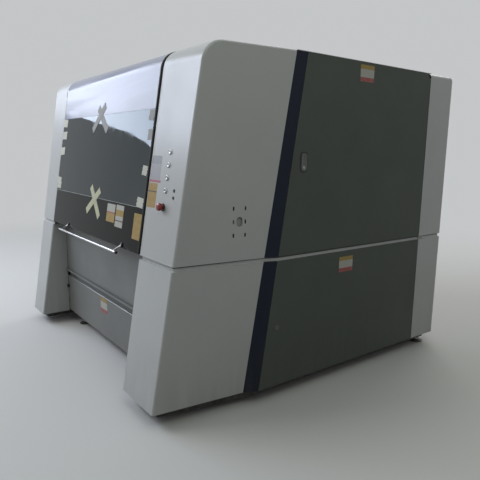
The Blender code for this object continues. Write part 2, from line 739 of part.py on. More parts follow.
def cam_lock(name, side, door):
    """A flanged barrel through the lower door; its tongue hangs unlocked behind the skin."""
    profile = [(0, LOCK_FLANGE_THICK), (LOCK_FLANGE, LOCK_FLANGE_THICK), (LOCK_FLANGE, TOUCH),
               (LOCK_RADIUS, TOUCH), (LOCK_RADIUS, -LOCK_LENGTH), (0, -LOCK_LENGTH)]
    face = (side * HALF_WIDTH, LOCK_Y, LOCK_Z)
    barrel = turned(profile, face, (side, 0, 0), 16)
    item = add_object(name, barrel, "steel", face)
    tongue_x = side * (HALF_WIDTH - LOCK_LENGTH)
    tongue = block((LOCK_TONGUE_THICK, LOCK_RADIUS, LOCK_TONGUE_LENGTH),
                   (tongue_x, LOCK_Y, LOCK_Z - LOCK_TONGUE_LENGTH / 2))
    fuse(item, tongue)
    bore = round_bar((side * (HALF_WIDTH - OVERRUN), LOCK_Y, LOCK_Z),
                     (side * (HALF_WIDTH + OVERRUN), LOCK_Y, LOCK_Z), LOCK_RADIUS + TOUCH, 16)
    cut(door, bore)
    return item


# Rear covers and roof

def rear_cover(name, low_z, high_z, capped):
    """A wrap of sheet round the rear of the body, capped where it meets the roof."""
    bm = bmesh.new()
    front = DOOR_REAR_Y + PANEL_GAP
    bmesh.ops.create_cube(bm, size=1.0)
    size = Vector((2 * HALF_WIDTH, REAR_Y - front, high_z - low_z))
    bmesh.ops.scale(bm, vec=size, verts=bm.verts)
    bmesh.ops.translate(bm, vec=(0, (REAR_Y + front) / 2, (high_z + low_z) / 2), verts=bm.verts)
    bm.normal_update()
    open_faces = [f for f in bm.faces if min(f.normal.y, f.normal.z) < -FACING_SHARE
                  or (not capped and f.normal.z > FACING_SHARE)]
    bmesh.ops.delete(bm, geom=open_faces, context="FACES")
    corners = [e for e in bm.edges if len(e.link_faces) == 2]
    bevel_edges(bm, corners, REAR_CORNER)
    face_outward(bm, Vector((0, 1, 0)))
    return solidify(add_object(name, mesh_of(bm), "white"), SHEET)


def cut_rear_openings(cover):
    """Cooling slots for the laser source and the hole of the extraction duct."""
    slots = []
    for k in range(VENT_COUNT):
        z = VENT_Z + k * VENT_PITCH
        slots.append(block((VENT_WIDTH, 2 * OVERRUN, VENT_HEIGHT), (SOURCE_X, REAR_Y, z)))
    slots.append(round_bar((DUCT_X, REAR_Y - OVERRUN, DUCT_Z), (DUCT_X, REAR_Y + OVERRUN, DUCT_Z),
                           DUCT_RADIUS + TOUCH, 32))
    cut(cover, *slots)


def extraction_duct():
    """A spigot that passes the rear cover, with its flange inside against the sheet."""
    flange_y = SHEET + TOUCH
    profile = [(DUCT_RADIUS, DUCT_LENGTH / 3), (DUCT_RADIUS, -flange_y),
               (DUCT_RADIUS + DUCT_FLANGE, -flange_y), (DUCT_RADIUS + DUCT_FLANGE, -flange_y - DUCT_WALL),
               (DUCT_RADIUS, -flange_y - DUCT_WALL), (DUCT_RADIUS, -DUCT_LENGTH),
               (DUCT_RADIUS - DUCT_WALL, -DUCT_LENGTH), (DUCT_RADIUS - DUCT_WALL, DUCT_LENGTH / 3),
               (DUCT_RADIUS, DUCT_LENGTH / 3)]
    profile = [(radius, height - DUCT_LENGTH / 3) for radius, height in profile]
    centre = (DUCT_X, REAR_Y, DUCT_Z)
    mesh = turned(profile, centre, (0, 1, 0), 32)
    return add_object("extraction_duct", mesh, "steel")


def door_tail_reach():
    """How far behind its hinge the open door's skin meets the underside of the roof sheet."""
    rise, run = math.sin(DOOR_OPENING), math.cos(DOOR_OPENING)
    return (DOOR_HINGE_DROP * (1 - run) + SHEET * run) / rise


def roof_panel():
    """One flat sheet: wide between the side doors, narrower between the fairings."""
    wide = HALF_WIDTH - TOUCH
    front = DOOR_HINGE_Y + door_tail_reach() + PANEL_GAP
    shoulder = band_y(ROOF_Z) + TOUCH
    left, right = DOOR_LEFT_X, DOOR_RIGHT_X
    rear = DOOR_REAR_Y + PANEL_GAP - TOUCH
    outline = [(left, front), (right, front), (right, shoulder), (wide, shoulder),
               (wide, rear), (-wide, rear), (-wide, shoulder), (left, shoulder)]
    mesh = prism(outline, ALONG_Z, ROOF_Z - SHEET, ROOF_Z)
    return add_object("roof_panel", mesh, "white")


# Base frame, feet, waist frame and bed

def plan_outline(inset, z):
    """Plan of the body at height z, drawn in by `inset`, with the recess between the pillars."""
    front = front_y(z) + inset
    recess = RECESS_Y + inset
    rear = REAR_Y - inset
    half = HALF_WIDTH - inset
    band = band_y(z) + BAND_WIDTH
    corner = side_x(front) - inset
    return [(PILLAR_INNER_RIGHT + inset, front), (corner, front), (half, band), (half, rear),
            (-half, rear), (-half, band), (-corner, front), (-PILLAR_INNER_LEFT - inset, front),
            (-PILLAR_INNER_LEFT - inset, recess), (PILLAR_INNER_RIGHT + inset, recess)]


def base_frame():
    """The black plinth: a ring of tube under the covers."""
    z = COVER_BASE_Z
    outer = plan_outline(PLINTH_INSET, z)
    inner = plan_outline(PLINTH_INSET + PLINTH_TUBE, z)
    mesh = prism(outer, ALONG_Z, PLINTH_FOOT_Z, PLINTH_FOOT_Z + PLINTH_HEIGHT, holes=(inner,))
    return add_object("base_frame", mesh, "black")


def post(side, x, y, width, top):
    foot = PLINTH_FOOT_Z + PLINTH_HEIGHT + TOUCH
    return block_between((side * x - width / 2, y - POST_SIZE / 2, foot),
                         (side * x + width / 2, y + POST_SIZE / 2, top))


def roof_rail(side, inner_x, outer_x, front, rear):
    top = ROOF_Z - SHEET - TOUCH
    low_x, high_x = sorted((side * inner_x, side * outer_x))
    return block_between((low_x, front, top - ROOF_RAIL), (high_x, rear, top))


def hinge_rail(margin):
    """Corners of the rail across the roof that the hinge plates hang from, widened by a margin."""
    y = DOOR_HINGE_Y - HINGE_KNUCKLE_RADIUS / 2 + HINGE_PLATE_DEPTH
    top = ROOF_Z - SHEET - TOUCH - HINGE_RAIL_DROP
    half = ROOF_RAIL / 2 + margin
    return (-ROOF_RAIL_X, y - half, top - ROOF_RAIL - margin), (ROOF_RAIL_X, y + half, top + margin)


def hinge_plates():
    """Plates that hang from the roof rail beside the door and carry its hinge and struts."""
    top = DOOR_HINGE_Z + HINGE_KNUCKLE_RADIUS / 2
    plates = []
    for side, strut_x in ((1, STRUT_RIGHT_X), (-1, STRUT_LEFT_X)):
        near = strut_x + side * (STRUT_EYE_WIDTH / 2 + TOUCH)
        low_x, high_x = sorted((near, near + side * HINGE_PLATE))
        foot = STRUT_BASE_Z - STRUT_EYE_RADIUS
        front = DOOR_HINGE_Y - HINGE_KNUCKLE_RADIUS / 2
        plates.append(block_between((low_x, front, foot), (high_x, front + HINGE_PLATE_DEPTH, top)))
        for end in (-1, 1):
            x = DOOR_MIDDLE_X + side * DOOR_WIDTH * KNUCKLE_SHARE
            x += end * (DOOR_FRAME_WIDTH + TOUCH + HINGE_EAR / 2)
            plates.append(block_between((x - HINGE_EAR / 2, front, DOOR_HINGE_Z - HINGE_KNUCKLE_RADIUS),
                                        (x + HINGE_EAR / 2, front + HINGE_PLATE_DEPTH, top)))
    return plates


def cover_frame():
    """The dark waist ring that shows in the groove, with the posts and roof rails that hold the covers."""
    outer = plan_outline(WAIST_INSET, SEAM_Z)
    inner = plan_outline(WAIST_INSET + WAIST_TUBE, SEAM_Z)
    ring = prism(outer, ALONG_Z, SEAM_Z - WAIST_HEIGHT / 2, SEAM_Z + WAIST_HEIGHT / 2, holes=(inner,))
    top = ROOF_Z - SHEET - TOUCH
    middle_x = HALF_WIDTH - SIDE_DOOR_PAN - TOUCH - POST_SIZE / 2
    rear_x = HALF_WIDTH - SHEET - TOUCH - POST_REAR_WIDTH / 2
    pieces = []
    for side in (-1, 1):
        pieces.append(post(side, POST_FRONT_X, POST_FRONT_Y, POST_SIZE, top))
        pieces.append(post(side, middle_x, POST_MIDDLE_Y, POST_SIZE, top))
        pieces.append(post(side, rear_x, POST_REAR_Y, POST_REAR_WIDTH, ROOF_Z - REAR_CORNER - SHEET))
        pieces.append(roof_rail(side, ROOF_RAIL_X - ROOF_RAIL, ROOF_RAIL_X + ROOF_RAIL, POST_FRONT_Y,
                                POST_MIDDLE_Y))
        pieces.append(roof_rail(side, ROOF_RAIL_X, HALF_WIDTH - REAR_CORNER - TOUCH,
                                POST_MIDDLE_Y - ROOF_RAIL, POST_REAR_Y))
    pieces.append(block_between(*hinge_rail(0)))
    item = add_object("cover_frame", ring, "black")
    return fuse(item, *pieces, *hinge_plates())


def levelling_foot(name, x, y):
    """A turned pad and screw that carries the base frame."""
    top = PLINTH_FOOT_Z - TOUCH
    profile = [(0, 0), (FOOT_RADIUS, 0), (FOOT_RADIUS, FOOT_PAD / 2), (2 * FOOT_STEM, FOOT_PAD),
               (FOOT_STEM, FOOT_PAD), (FOOT_STEM, top - FOOT_PAD), (2 * FOOT_STEM, top - FOOT_PAD),
               (2 * FOOT_STEM, top), (0, top)]
    return add_object(name, turned(profile, (x, y, 0), (0, 0, 1), 20), "black")


def bed_frame():
    """The welded bed: side beams on legs, tied by cross tubes, on the base frame."""
    beam_foot = BED_TOP_Z - BED_BEAM_HEIGHT
    leg_foot = PLINTH_FOOT_Z + PLINTH_HEIGHT + TOUCH
    half = BED_BEAM_WIDTH / 2
    front_leg_y = RECESS_Y + PLINTH_INSET + PLINTH_TUBE / 2
    pieces = []
    for side in (-1, 1):
        x = side * BED_BEAM_X
        pieces.append(block_between((x - half, BED_FRONT_Y, beam_foot), (x + half, BED_REAR_Y, BED_TOP_Z)))
        for y in (front_leg_y, BED_REAR_Y - BED_LEG):
            pieces.append(block((BED_LEG, BED_LEG, beam_foot + OVERRUN - leg_foot),
                                (x, y, (beam_foot + OVERRUN + leg_foot) / 2)))
        pieces.append(block_between((x - half, BED_FOOT_RAIL_Y, leg_foot),
                                    (x + half, REAR_Y - PLINTH_INSET, leg_foot + BED_FOOT_RAIL_HEIGHT)))
    cross_top = TABLE_RAIL_TOP - TABLE_RAIL_HEIGHT - TOUCH
    for y in (TABLE_FRONT_Y + TABLE_RAIL, TABLE_REAR_Y):
        pieces.append(block((2 * BED_BEAM_X, BED_CROSS, BED_CROSS), (0, y, cross_top - BED_CROSS / 2)))
    tie_top = DRAWER_FOOT + DRAWER_TRAY_LIFT - TOUCH
    for y in (front_leg_y + BED_LEG / 2, BED_TIE_Y):
        pieces.append(block_between((-BED_BEAM_X, y - BED_TIE_WIDTH / 2, leg_foot),
                                    (BED_BEAM_X, y + BED_TIE_WIDTH / 2, tie_top)))
    for side in (-1, 1):
        x = side * BED_BEAM_X
        pieces.append(block_between((x - BED_TIE_WIDTH / 2, front_leg_y, leg_foot),
                                    (x + BED_TIE_WIDTH / 2, BED_REAR_Y - BED_LEG, tie_top)))
    item = add_object("bed_frame", pieces[0], "bed_paint")
    return fuse(item, *pieces[1:])


def table_slat(y):
    """One serrated slat that runs across the table at depth y."""
    half = TABLE_HALF_X
    count = round(2 * half / SLAT_TOOTH)
    tooth = 2 * half / count
    root = SLAT_TOP_Z - SLAT_TOOTH_DEPTH
    points = [(-half, SLAT_TOP_Z - SLAT_HEIGHT), (half, SLAT_TOP_Z - SLAT_HEIGHT)]
    for k in range(count, 0, -1):
        x = -half + k * tooth
        points.append((x, root))
        points.append((x - tooth / 2, SLAT_TOP_Z))
    points.append((-half, root))
    return prism(points, ALONG_Y, y - SLAT_THICK / 2, y + SLAT_THICK / 2)


def slat_table():
    """The cutting table: two comb rails and end bars carry rows of serrated slats."""
    half = TABLE_HALF_X
    foot = TABLE_RAIL_TOP - TABLE_RAIL_HEIGHT
    bars = []
    for x in (-half + TABLE_RAIL / 2, 0, half - TABLE_RAIL / 2):
        bars.append(block_between((x - TABLE_RAIL / 2, TABLE_FRONT_Y, foot),
                                  (x + TABLE_RAIL / 2, TABLE_REAR_Y, TABLE_RAIL_TOP)))
    for y in (TABLE_FRONT_Y + TABLE_RAIL / 2, TABLE_REAR_Y - TABLE_RAIL / 2):
        bars.append(block((2 * half, TABLE_RAIL, TABLE_RAIL_HEIGHT), (0, y, (foot + TABLE_RAIL_TOP) / 2)))
    run = TABLE_REAR_Y - TABLE_FRONT_Y - 2 * TABLE_RAIL
    count = int(run / SLAT_PITCH)
    first = (TABLE_FRONT_Y + TABLE_REAR_Y - (count - 1) * SLAT_PITCH) / 2
    slats = [table_slat(first + k * SLAT_PITCH) for k in range(count)]
    item = add_object("slat_table", bars[0], "steel")
    return fuse(item, *bars[1:], *slats)


def guide_rail(name, side):
    """A profiled rail on the bed beam, with the waist that its blocks run in."""
    foot = BED_TOP_Z + TOUCH
    top = foot + RAIL_HEIGHT
    x = side * BED_BEAM_X
    low_x, high_x = x - RAIL_WIDTH / 2, x + RAIL_WIDTH / 2
    groove = RAIL_GROOVE
    waist_foot, waist_top = foot + 2 * groove, top - 2 * groove
    outline = [(low_x, foot), (high_x, foot), (high_x, foot + groove), (high_x - groove, waist_foot),
               (high_x - groove, waist_top), (high_x, top - groove), (high_x, top), (low_x, top),
               (low_x, top - groove), (low_x + groove, waist_top), (low_x + groove, waist_foot),
               (low_x, foot + groove)]
    return add_object(name, prism(outline, ALONG_Y, RAIL_FRONT_Y, RAIL_REAR_Y), "steel")


def rack(name, side):
    """The drive rack beside the rail; its fine teeth are left to the surface."""
    x = side * (BED_BEAM_X + RACK_OFFSET)
    foot = BED_TOP_Z + TOUCH
    mesh = block_between((x - RACK_SIZE / 2, RAIL_FRONT_Y, foot),
                         (x + RACK_SIZE / 2, RAIL_REAR_Y, foot + RACK_SIZE))
    return add_object(name, mesh, "steel")


def pinion_place(side):
    x = side * (BED_BEAM_X + RACK_OFFSET + RACK_SIZE / 2 + PINION_MESH_GAP + PINION_RADIUS)
    return Vector((x, BEAM_Y, BED_TOP_Z + RACK_SIZE / 2))


def pinion(name, side):
    """The toothed wheel on the motor's shaft, bored for it."""
    half = PINION_HEIGHT / 2
    profile = [(PINION_BORE, half), (PINION_RADIUS, half), (PINION_RADIUS, -half), (PINION_BORE, -half),
               (PINION_BORE, half)]
    place = pinion_place(side)
    return add_object(name, turned(profile, place, (0, 0, 1), 20), "steel", place)


def gantry_motor(name, side):
    """A square servo on the end plate; its pilot fills the plate's bore, its shaft the pinion."""
    place = pinion_place(side)
    seat = END_PLATE_TOP + TOUCH
    shaft_foot = place.z - PINION_HEIGHT / 2
    half = MOTOR_SIZE / 2
    bm = bmesh.new()
    bm.from_mesh(block_between((place.x - half, place.y - half, seat),
                               (place.x + half, place.y + half, seat + MOTOR_LENGTH)))
    upright = [e for e in bm.edges if abs(e.verts[0].co.z - e.verts[1].co.z) > half]
    bevel_edges(bm, upright, MOTOR_CORNER, 2)
    item = add_object(name, mesh_of(bm), "black")
    pilot = round_bar((place.x, place.y, seat - MOTOR_PILOT_LENGTH), (place.x, place.y, seat + half),
                      MOTOR_PILOT_RADIUS, 24)
    shaft = round_bar((place.x, place.y, shaft_foot), (place.x, place.y, seat + half), MOTOR_SHAFT, 12)
    return fuse(item, pilot, shaft)


def gantry_beam():
    """A hollow beam across the bed, with end plates on rail blocks and motor seats."""
    half = BEAM_SIZE / 2
    x_end = BED_BEAM_X + RACK_OFFSET + RACK_SIZE + 2 * PINION_RADIUS + MOTOR_SIZE / 2
    plate_top = END_PLATE_TOP
    plate_foot = plate_top - END_PLATE_THICK
    outer = [(BEAM_Y - half, BEAM_Z - half), (BEAM_Y + half, BEAM_Z - half),
             (BEAM_Y + half, BEAM_Z + half), (BEAM_Y - half, BEAM_Z + half)]
    wall = half - BEAM_WALL
    inner = [(BEAM_Y - wall, BEAM_Z - wall), (BEAM_Y + wall, BEAM_Z - wall),
             (BEAM_Y + wall, BEAM_Z + wall), (BEAM_Y - wall, BEAM_Z + wall)]
    tube = prism(outer, ALONG_X, -BEAM_HALF_X, BEAM_HALF_X, holes=(inner,))
    item = add_object("gantry_beam", tube, "aluminium")
    pieces = []
    for side in (-1, 1):
        low_x, high_x = sorted((side * (BEAM_HALF_X - END_PLATE_DEPTH / 2), side * x_end))
        pieces.append(block_between((low_x, BEAM_Y - END_PLATE_DEPTH / 2, plate_foot),
                                    (high_x, BEAM_Y + END_PLATE_DEPTH / 2, plate_top)))
        web_x = side * (BEAM_HALF_X + END_PLATE_THICK / 2)
        pieces.append(block((END_PLATE_THICK + BEAM_WALL, END_PLATE_DEPTH, BEAM_Z + half - plate_foot),
                            (web_x, BEAM_Y, (BEAM_Z + half + plate_foot) / 2)))
        for end in (-1, 1):
            y = BEAM_Y + end * (END_PLATE_DEPTH - RAIL_BLOCK_LENGTH) / 2
            pieces.append(rail_block(side * BED_BEAM_X, y, plate_foot + TOUCH))
    for level in (-1, 1):
        z = BEAM_Z + level * BEAM_RAIL_SPACING / 2
        end_x = BEAM_HALF_X - BEAM_RAIL_END
        pieces.append(block_between((-end_x, BEAM_Y - half - BEAM_RAIL_HEIGHT, z - BEAM_RAIL_WIDTH / 2),
                                    (end_x, BEAM_Y - half + BEAM_WALL / 2, z + BEAM_RAIL_WIDTH / 2)))
    fuse(item, *pieces)
    for side in (-1, 1):
        place = pinion_place(side)
        bore = round_bar((place.x, place.y, plate_foot - OVERRUN), (place.x, place.y, plate_top + OVERRUN),
                         MOTOR_PILOT_RADIUS + TOUCH, 24)
        cut(item, bore)
    reach = BEAM_HALF_X + 2 * END_PLATE_THICK
    port = BEAM_SIZE * BEAM_PORT_SHARE
    return cut(item, round_bar((-reach, BEAM_Y, BEAM_Z), (reach, BEAM_Y, BEAM_Z), port, 20))


def rail_block(x, y, top):
    """A running block that straddles the guide rail with a small clearance."""
    clear = RAIL_BLOCK_CLEAR
    half = RAIL_BLOCK_WIDTH / 2
    slot = RAIL_WIDTH / 2 + clear
    roof = BED_TOP_Z + TOUCH + RAIL_HEIGHT + clear
    foot = BED_TOP_Z + TOUCH + RAIL_GROOVE
    outline = [(x - half, foot), (x - slot, foot), (x - slot, roof), (x + slot, roof), (x + slot, foot),
               (x + half, foot), (x + half, top), (x - half, top)]
    return prism(outline, ALONG_Y, y - RAIL_BLOCK_LENGTH / 2, y + RAIL_BLOCK_LENGTH / 2)


def beam_front():
    return BEAM_Y - BEAM_SIZE / 2 - BEAM_RAIL_HEIGHT


def carriage():
    """The plate that runs along the beam, with channels that clasp its two rails."""
    clear = RAIL_BLOCK_CLEAR
    front = beam_front() - clear - CARRIAGE_THICK
    rear = front + CARRIAGE_THICK
    foot = BEAM_Z - CARRIAGE_HEIGHT / 2
    top = BEAM_Z + CARRIAGE_HEIGHT / 2
    rail_front = BEAM_Y - BEAM_SIZE / 2 - clear
    outline = [(front, foot), (rear, foot)]
    for level in (-1, 1):
        z = BEAM_Z + level * BEAM_RAIL_SPACING / 2
        low, high = z - BEAM_RAIL_WIDTH / 2 - clear, z + BEAM_RAIL_WIDTH / 2 + clear
        outline += [(rear, low - CLASP_WALL), (rail_front, low - CLASP_WALL), (rail_front, low),
                    (rear, low), (rear, high), (rail_front, high), (rail_front, high + CLASP_WALL),
                    (rear, high + CLASP_WALL)]
    outline += [(rear, top), (front, top)]
    x = CARRIAGE_REST_X
    mesh = prism(outline, ALONG_X, x - CARRIAGE_WIDTH / 2, x + CARRIAGE_WIDTH / 2)
    return add_object("carriage", mesh, "aluminium", (x, BEAM_Y, BEAM_Z))


def head_centre():
    """Axis of the cutting head, in front of its slide."""
    y = beam_front() - RAIL_BLOCK_CLEAR - CARRIAGE_THICK - HEAD_COLUMN_DEPTH - HEAD_RADIUS
    return Vector((CARRIAGE_REST_X, y, 0))


def head_slide():
    """The vertical slide in front of the carriage that carries the cutting head."""
    rear = beam_front() - RAIL_BLOCK_CLEAR - CARRIAGE_THICK - TOUCH
    centre = head_centre()
    low = (centre.x - HEAD_COLUMN_WIDTH / 2, rear - HEAD_COLUMN_DEPTH, HEAD_COLUMN_FOOT)
    high = (centre.x + HEAD_COLUMN_WIDTH / 2, rear, HEAD_COLUMN_FOOT + HEAD_COLUMN_HEIGHT)
    bm = bmesh.new()
    bm.from_mesh(block_between(low, high))
    upright = [e for e in bm.edges if abs(e.verts[0].co.z - e.verts[1].co.z) > HEAD_COLUMN_HEIGHT / 2]
    bevel_edges(bm, upright, EDGE_ROUND / 2, 2)
    return add_object("head_slide", mesh_of(bm), "gloss_black", (centre.x, rear, HEAD_COLUMN_FOOT))


def cutting_head():
    """The turned cutting head: fibre socket, collimator, focus collar and lower cone."""
    centre = head_centre() - Vector((0, HEAD_COLUMN_CLEAR, 0))
    socket = HEAD_RADIUS * HEAD_SOCKET_SHARE
    shoulder = HEAD_BODY_TOP - HEAD_COLLAR_HEIGHT
    rings = [(0, HEAD_BODY_TOP), (socket, HEAD_BODY_TOP), (socket, shoulder)]
    middle = (HEAD_BODY_TOP + HEAD_BODY_FOOT) / 2
    rings += [(HEAD_RADIUS, shoulder - HEAD_COLLAR_HEIGHT / 2),
              (HEAD_RADIUS, middle + HEAD_COLLAR_HEIGHT / 2),
              (HEAD_RADIUS * HEAD_WAIST_SHARE, middle + HEAD_COLLAR_HEIGHT / 2),
              (HEAD_RADIUS * HEAD_WAIST_SHARE, middle - HEAD_COLLAR_HEIGHT / 2),
              (HEAD_RADIUS, middle - HEAD_COLLAR_HEIGHT / 2), (HEAD_RADIUS, HEAD_BODY_FOOT),
              (NOZZLE_SEAT_RADIUS, HEAD_BODY_FOOT - HEAD_COLLAR_HEIGHT / 2),
              (0, HEAD_BODY_FOOT - HEAD_COLLAR_HEIGHT / 2)]
    foot = centre + Vector((0, 0, HEAD_BODY_FOOT))
    return add_object("cutting_head", turned(rings, centre, (0, 0, 1), 24), "aluminium", foot)


def nozzle():
    """The copper tip below the head, with its bore."""
    centre = head_centre() - Vector((0, HEAD_COLUMN_CLEAR, 0))
    top = HEAD_BODY_FOOT - HEAD_COLLAR_HEIGHT / 2 - TOUCH
    bore = NOZZLE_TIP_RADIUS / 2
    grip = top - NOZZLE_GRIP
    profile = [(bore, top), (NOZZLE_SEAT_RADIUS, top), (NOZZLE_SEAT_RADIUS, grip),
               (NOZZLE_SEAT_RADIUS * NOZZLE_NECK_SHARE, grip), (NOZZLE_TIP_RADIUS, NOZZLE_TIP_Z),
               (bore, NOZZLE_TIP_Z), (bore, top)]
    return add_object("nozzle", turned(profile, centre, (0, 0, 1), 20), "brass")


# Recessed front and drawer

def front_panel():
    """The recessed sheet behind the pillars' edges, hemmed forward at its foot and back at its top."""
    y = RECESS_Y
    top = SEAM_LOW - PANEL_GAP
    foot = RECESS_PANEL_FOOT
    seat = RECESS_Y + WAIST_INSET - TOUCH
    sheet = [(y, top), (seat, top), (seat, top - SHEET), (y + SHEET, top - SHEET), (y + SHEET, foot),
             (y, foot)]
    lip = y - RECESS_LIP
    hem = [(y + SHEET, foot), (lip, foot), (lip, foot + RECESS_LIP), (lip + SHEET, foot + RECESS_LIP),
           (lip + SHEET, foot + SHEET), (y + SHEET, foot + SHEET)]
    left = -PILLAR_INNER_LEFT - RECESS_PANEL_LAP
    right = PILLAR_INNER_RIGHT + RECESS_PANEL_LAP
    item = add_object("front_panel", prism(sheet, ALONG_X, left, right), "grey")
    return fuse(item, prism(hem, ALONG_X, DOOR_LEFT_X, DOOR_RIGHT_X))


def slag_drawer():
    """The drawer front with its folded grip, and the tray behind it."""
    y = RECESS_Y
    thick = DRAWER_FRONT_THICK
    top = DRAWER_TOP
    front_outline = [(y, DRAWER_FOOT), (y + thick, DRAWER_FOOT), (y + thick, top + DRAWER_LIP),
                     (y + thick - SHEET, top + DRAWER_LIP), (y + thick - SHEET, top), (y - DRAWER_HEM, top),
                     (y - DRAWER_HEM, top - DRAWER_HEM), (y, top - DRAWER_HEM)]
    item = add_object("slag_drawer", prism(front_outline, ALONG_X, DOOR_LEFT_X, DOOR_RIGHT_X), "grey",
                      (DOOR_MIDDLE_X, RECESS_Y, DRAWER_FOOT))
    half = DOOR_WIDTH / 2 - DRAWER_TRAY_INSET
    low = DRAWER_FOOT + DRAWER_TRAY_LIFT
    high = top - DRAWER_TRAY_DROP
    front = y + thick - SHEET
    rear = front + DRAWER_DEPTH
    x = DOOR_MIDDLE_X
    wall = SHEET
    pieces = [block_between((x - half, front, low), (x + half, rear, low + wall)),
              block_between((x - half, rear - wall, low), (x + half, rear, high)),
              block_between((x - half, front, low), (x - half + wall, rear, high)),
              block_between((x + half - wall, front, low), (x + half, rear, high))]
    return fuse(item, *pieces)


# Front door

def door_top_shell():
    """The curved white sheet above the window, returned inward at both sides."""
    foot = WINDOW_TOP_Z + PANEL_GAP / 4
    line = crown_line(0, foot, DOOR_HINGE_Y)
    back = crown_line(DOOR_RETURN, foot, DOOR_HINGE_Y)
    bm = bmesh.new()
    rows = []
    for x, points in ((DOOR_LEFT_X, back), (DOOR_LEFT_X, line), (DOOR_RIGHT_X, line), (DOOR_RIGHT_X, back)):
        rows.append([bm.verts.new((x, y, z)) for y, z in points])
    for left, right in zip(rows, rows[1:]):
        for k in range(len(line) - 1):
            bm.faces.new((left[k], right[k], right[k + 1], left[k + 1]))
    face_outward(bm, Vector((0, -1, 0)))
    hinge = (DOOR_MIDDLE_X, DOOR_HINGE_Y, DOOR_HINGE_Z)
    return solidify(add_object("door_top_shell", mesh_of(bm), "white", hinge), SIDE_DOOR_SHEET)


def lean_plate(low_z, high_z, inset, thick):
    """(y, z) outline of a plate that lies in the lean of the front."""
    shift = inset / math.cos(FRONT_LEAN)
    back = (inset + thick) / math.cos(FRONT_LEAN)
    return [(front_y(low_z) + shift, low_z), (front_y(low_z) + back, low_z),
            (front_y(high_z) + back, high_z), (front_y(high_z) + shift, high_z)]


def door_window():
    outline = lean_plate(WINDOW_BOTTOM_Z + TOUCH, WINDOW_TOP_Z, 0, WINDOW_THICK)
    return add_object("door_window", prism(outline, ALONG_X, DOOR_LEFT_X, DOOR_RIGHT_X), "glass")


def door_lower_panel():
    """The glossy dark panel below the window, folded back under the door."""
    outline = lean_plate(DOOR_BOTTOM_Z, WINDOW_BOTTOM_Z, 0, SHEET)
    low_front, low_back, high_back, high_front = outline
    lip = (low_front[0] + DOOR_FRAME_DEPTH + WINDOW_THICK, low_front[1])
    outline = [low_front, lip, (lip[0], lip[1] + SHEET), (low_back[0], low_back[1] + SHEET), high_back,
               high_front]
    return add_object("door_lower_panel", prism(outline, ALONG_X, DOOR_LEFT_X, DOOR_RIGHT_X), "gloss_black")


def door_frame():
    """Welded tube behind the door skins: two bent stiles, four rails and the hinge knuckles."""
    near = WINDOW_THICK + TOUCH
    far = near + DOOR_FRAME_DEPTH
    foot = DOOR_BOTTOM_Z + SHEET + TOUCH
    end_y = DOOR_HINGE_Y - HINGE_KNUCKLE_RADIUS
    stile = crown_line(near, foot, end_y) + crown_line(far, foot, end_y)[::-1]
    pieces = []
    edge = DOOR_RETURN_CLEAR
    for start in (DOOR_LEFT_X + edge, DOOR_RIGHT_X - edge - DOOR_FRAME_WIDTH):
        pieces.append(prism(stile, ALONG_X, start, start + DOOR_FRAME_WIDTH))
    for low, high in ((foot, foot + DOOR_FRAME_WIDTH), (WINDOW_BOTTOM_Z - DOOR_FRAME_WIDTH, WINDOW_BOTTOM_Z),
                      (WINDOW_TOP_Z, WINDOW_TOP_Z + DOOR_FRAME_WIDTH)):
        pieces.append(prism(lean_plate(low, high, near, DOOR_FRAME_DEPTH), ALONG_X,
                            DOOR_LEFT_X + edge + DOOR_FRAME_WIDTH / 2,
                            DOOR_RIGHT_X - edge - DOOR_FRAME_WIDTH / 2))
    rear_low = (DOOR_LEFT_X + edge, end_y - DOOR_FRAME_WIDTH, ROOF_Z - far)
    rear_high = (DOOR_RIGHT_X - edge, end_y, ROOF_Z - near)
    pieces.append(block_between(rear_low, rear_high))
    for end in (-1, 1):
        x = DOOR_MIDDLE_X + end * DOOR_WIDTH * KNUCKLE_SHARE
        pieces.append(round_bar((x - DOOR_FRAME_WIDTH, DOOR_HINGE_Y, DOOR_HINGE_Z),
                                (x + DOOR_FRAME_WIDTH, DOOR_HINGE_Y, DOOR_HINGE_Z),
                                HINGE_KNUCKLE_RADIUS, 16))
        pieces.append(block((DOOR_FRAME_WIDTH, DOOR_FRAME_WIDTH, HINGE_KNUCKLE_RADIUS),
                            (x, DOOR_HINGE_Y - DOOR_FRAME_WIDTH / 2, DOOR_HINGE_Z)))
    for side, strut_x in ((1, STRUT_RIGHT_X), (-1, STRUT_LEFT_X)):
        pieces.append(strut_lug(side, strut_x))
    hinge = (DOOR_MIDDLE_X, DOOR_HINGE_Y, DOOR_HINGE_Z)
    item = add_object("door_frame", pieces[0], "black", hinge)
    return fuse(item, *pieces[1:])


def strut_lug(side, strut_x):
    """A plate on the door's stile that stands beside the strut's upper eye."""
    near = strut_x + side * (STRUT_EYE_WIDTH / 2 + TOUCH)
    low_x, high_x = sorted((near, near + side * HINGE_PLATE))
    shift = STRUT_LUG_WIDTH / 2
    reach = WINDOW_THICK + DOOR_FRAME_DEPTH / 2
    low_z, high_z = STRUT_TOP_Z - shift, STRUT_TOP_Z + shift
    outline = [(STRUT_TOP_Y + STRUT_EYE_RADIUS, low_z), (STRUT_TOP_Y + STRUT_EYE_RADIUS, high_z),
               (front_y(high_z) + reach, high_z), (front_y(low_z) + reach, low_z)]
    return prism(outline, ALONG_X, low_x, high_x)


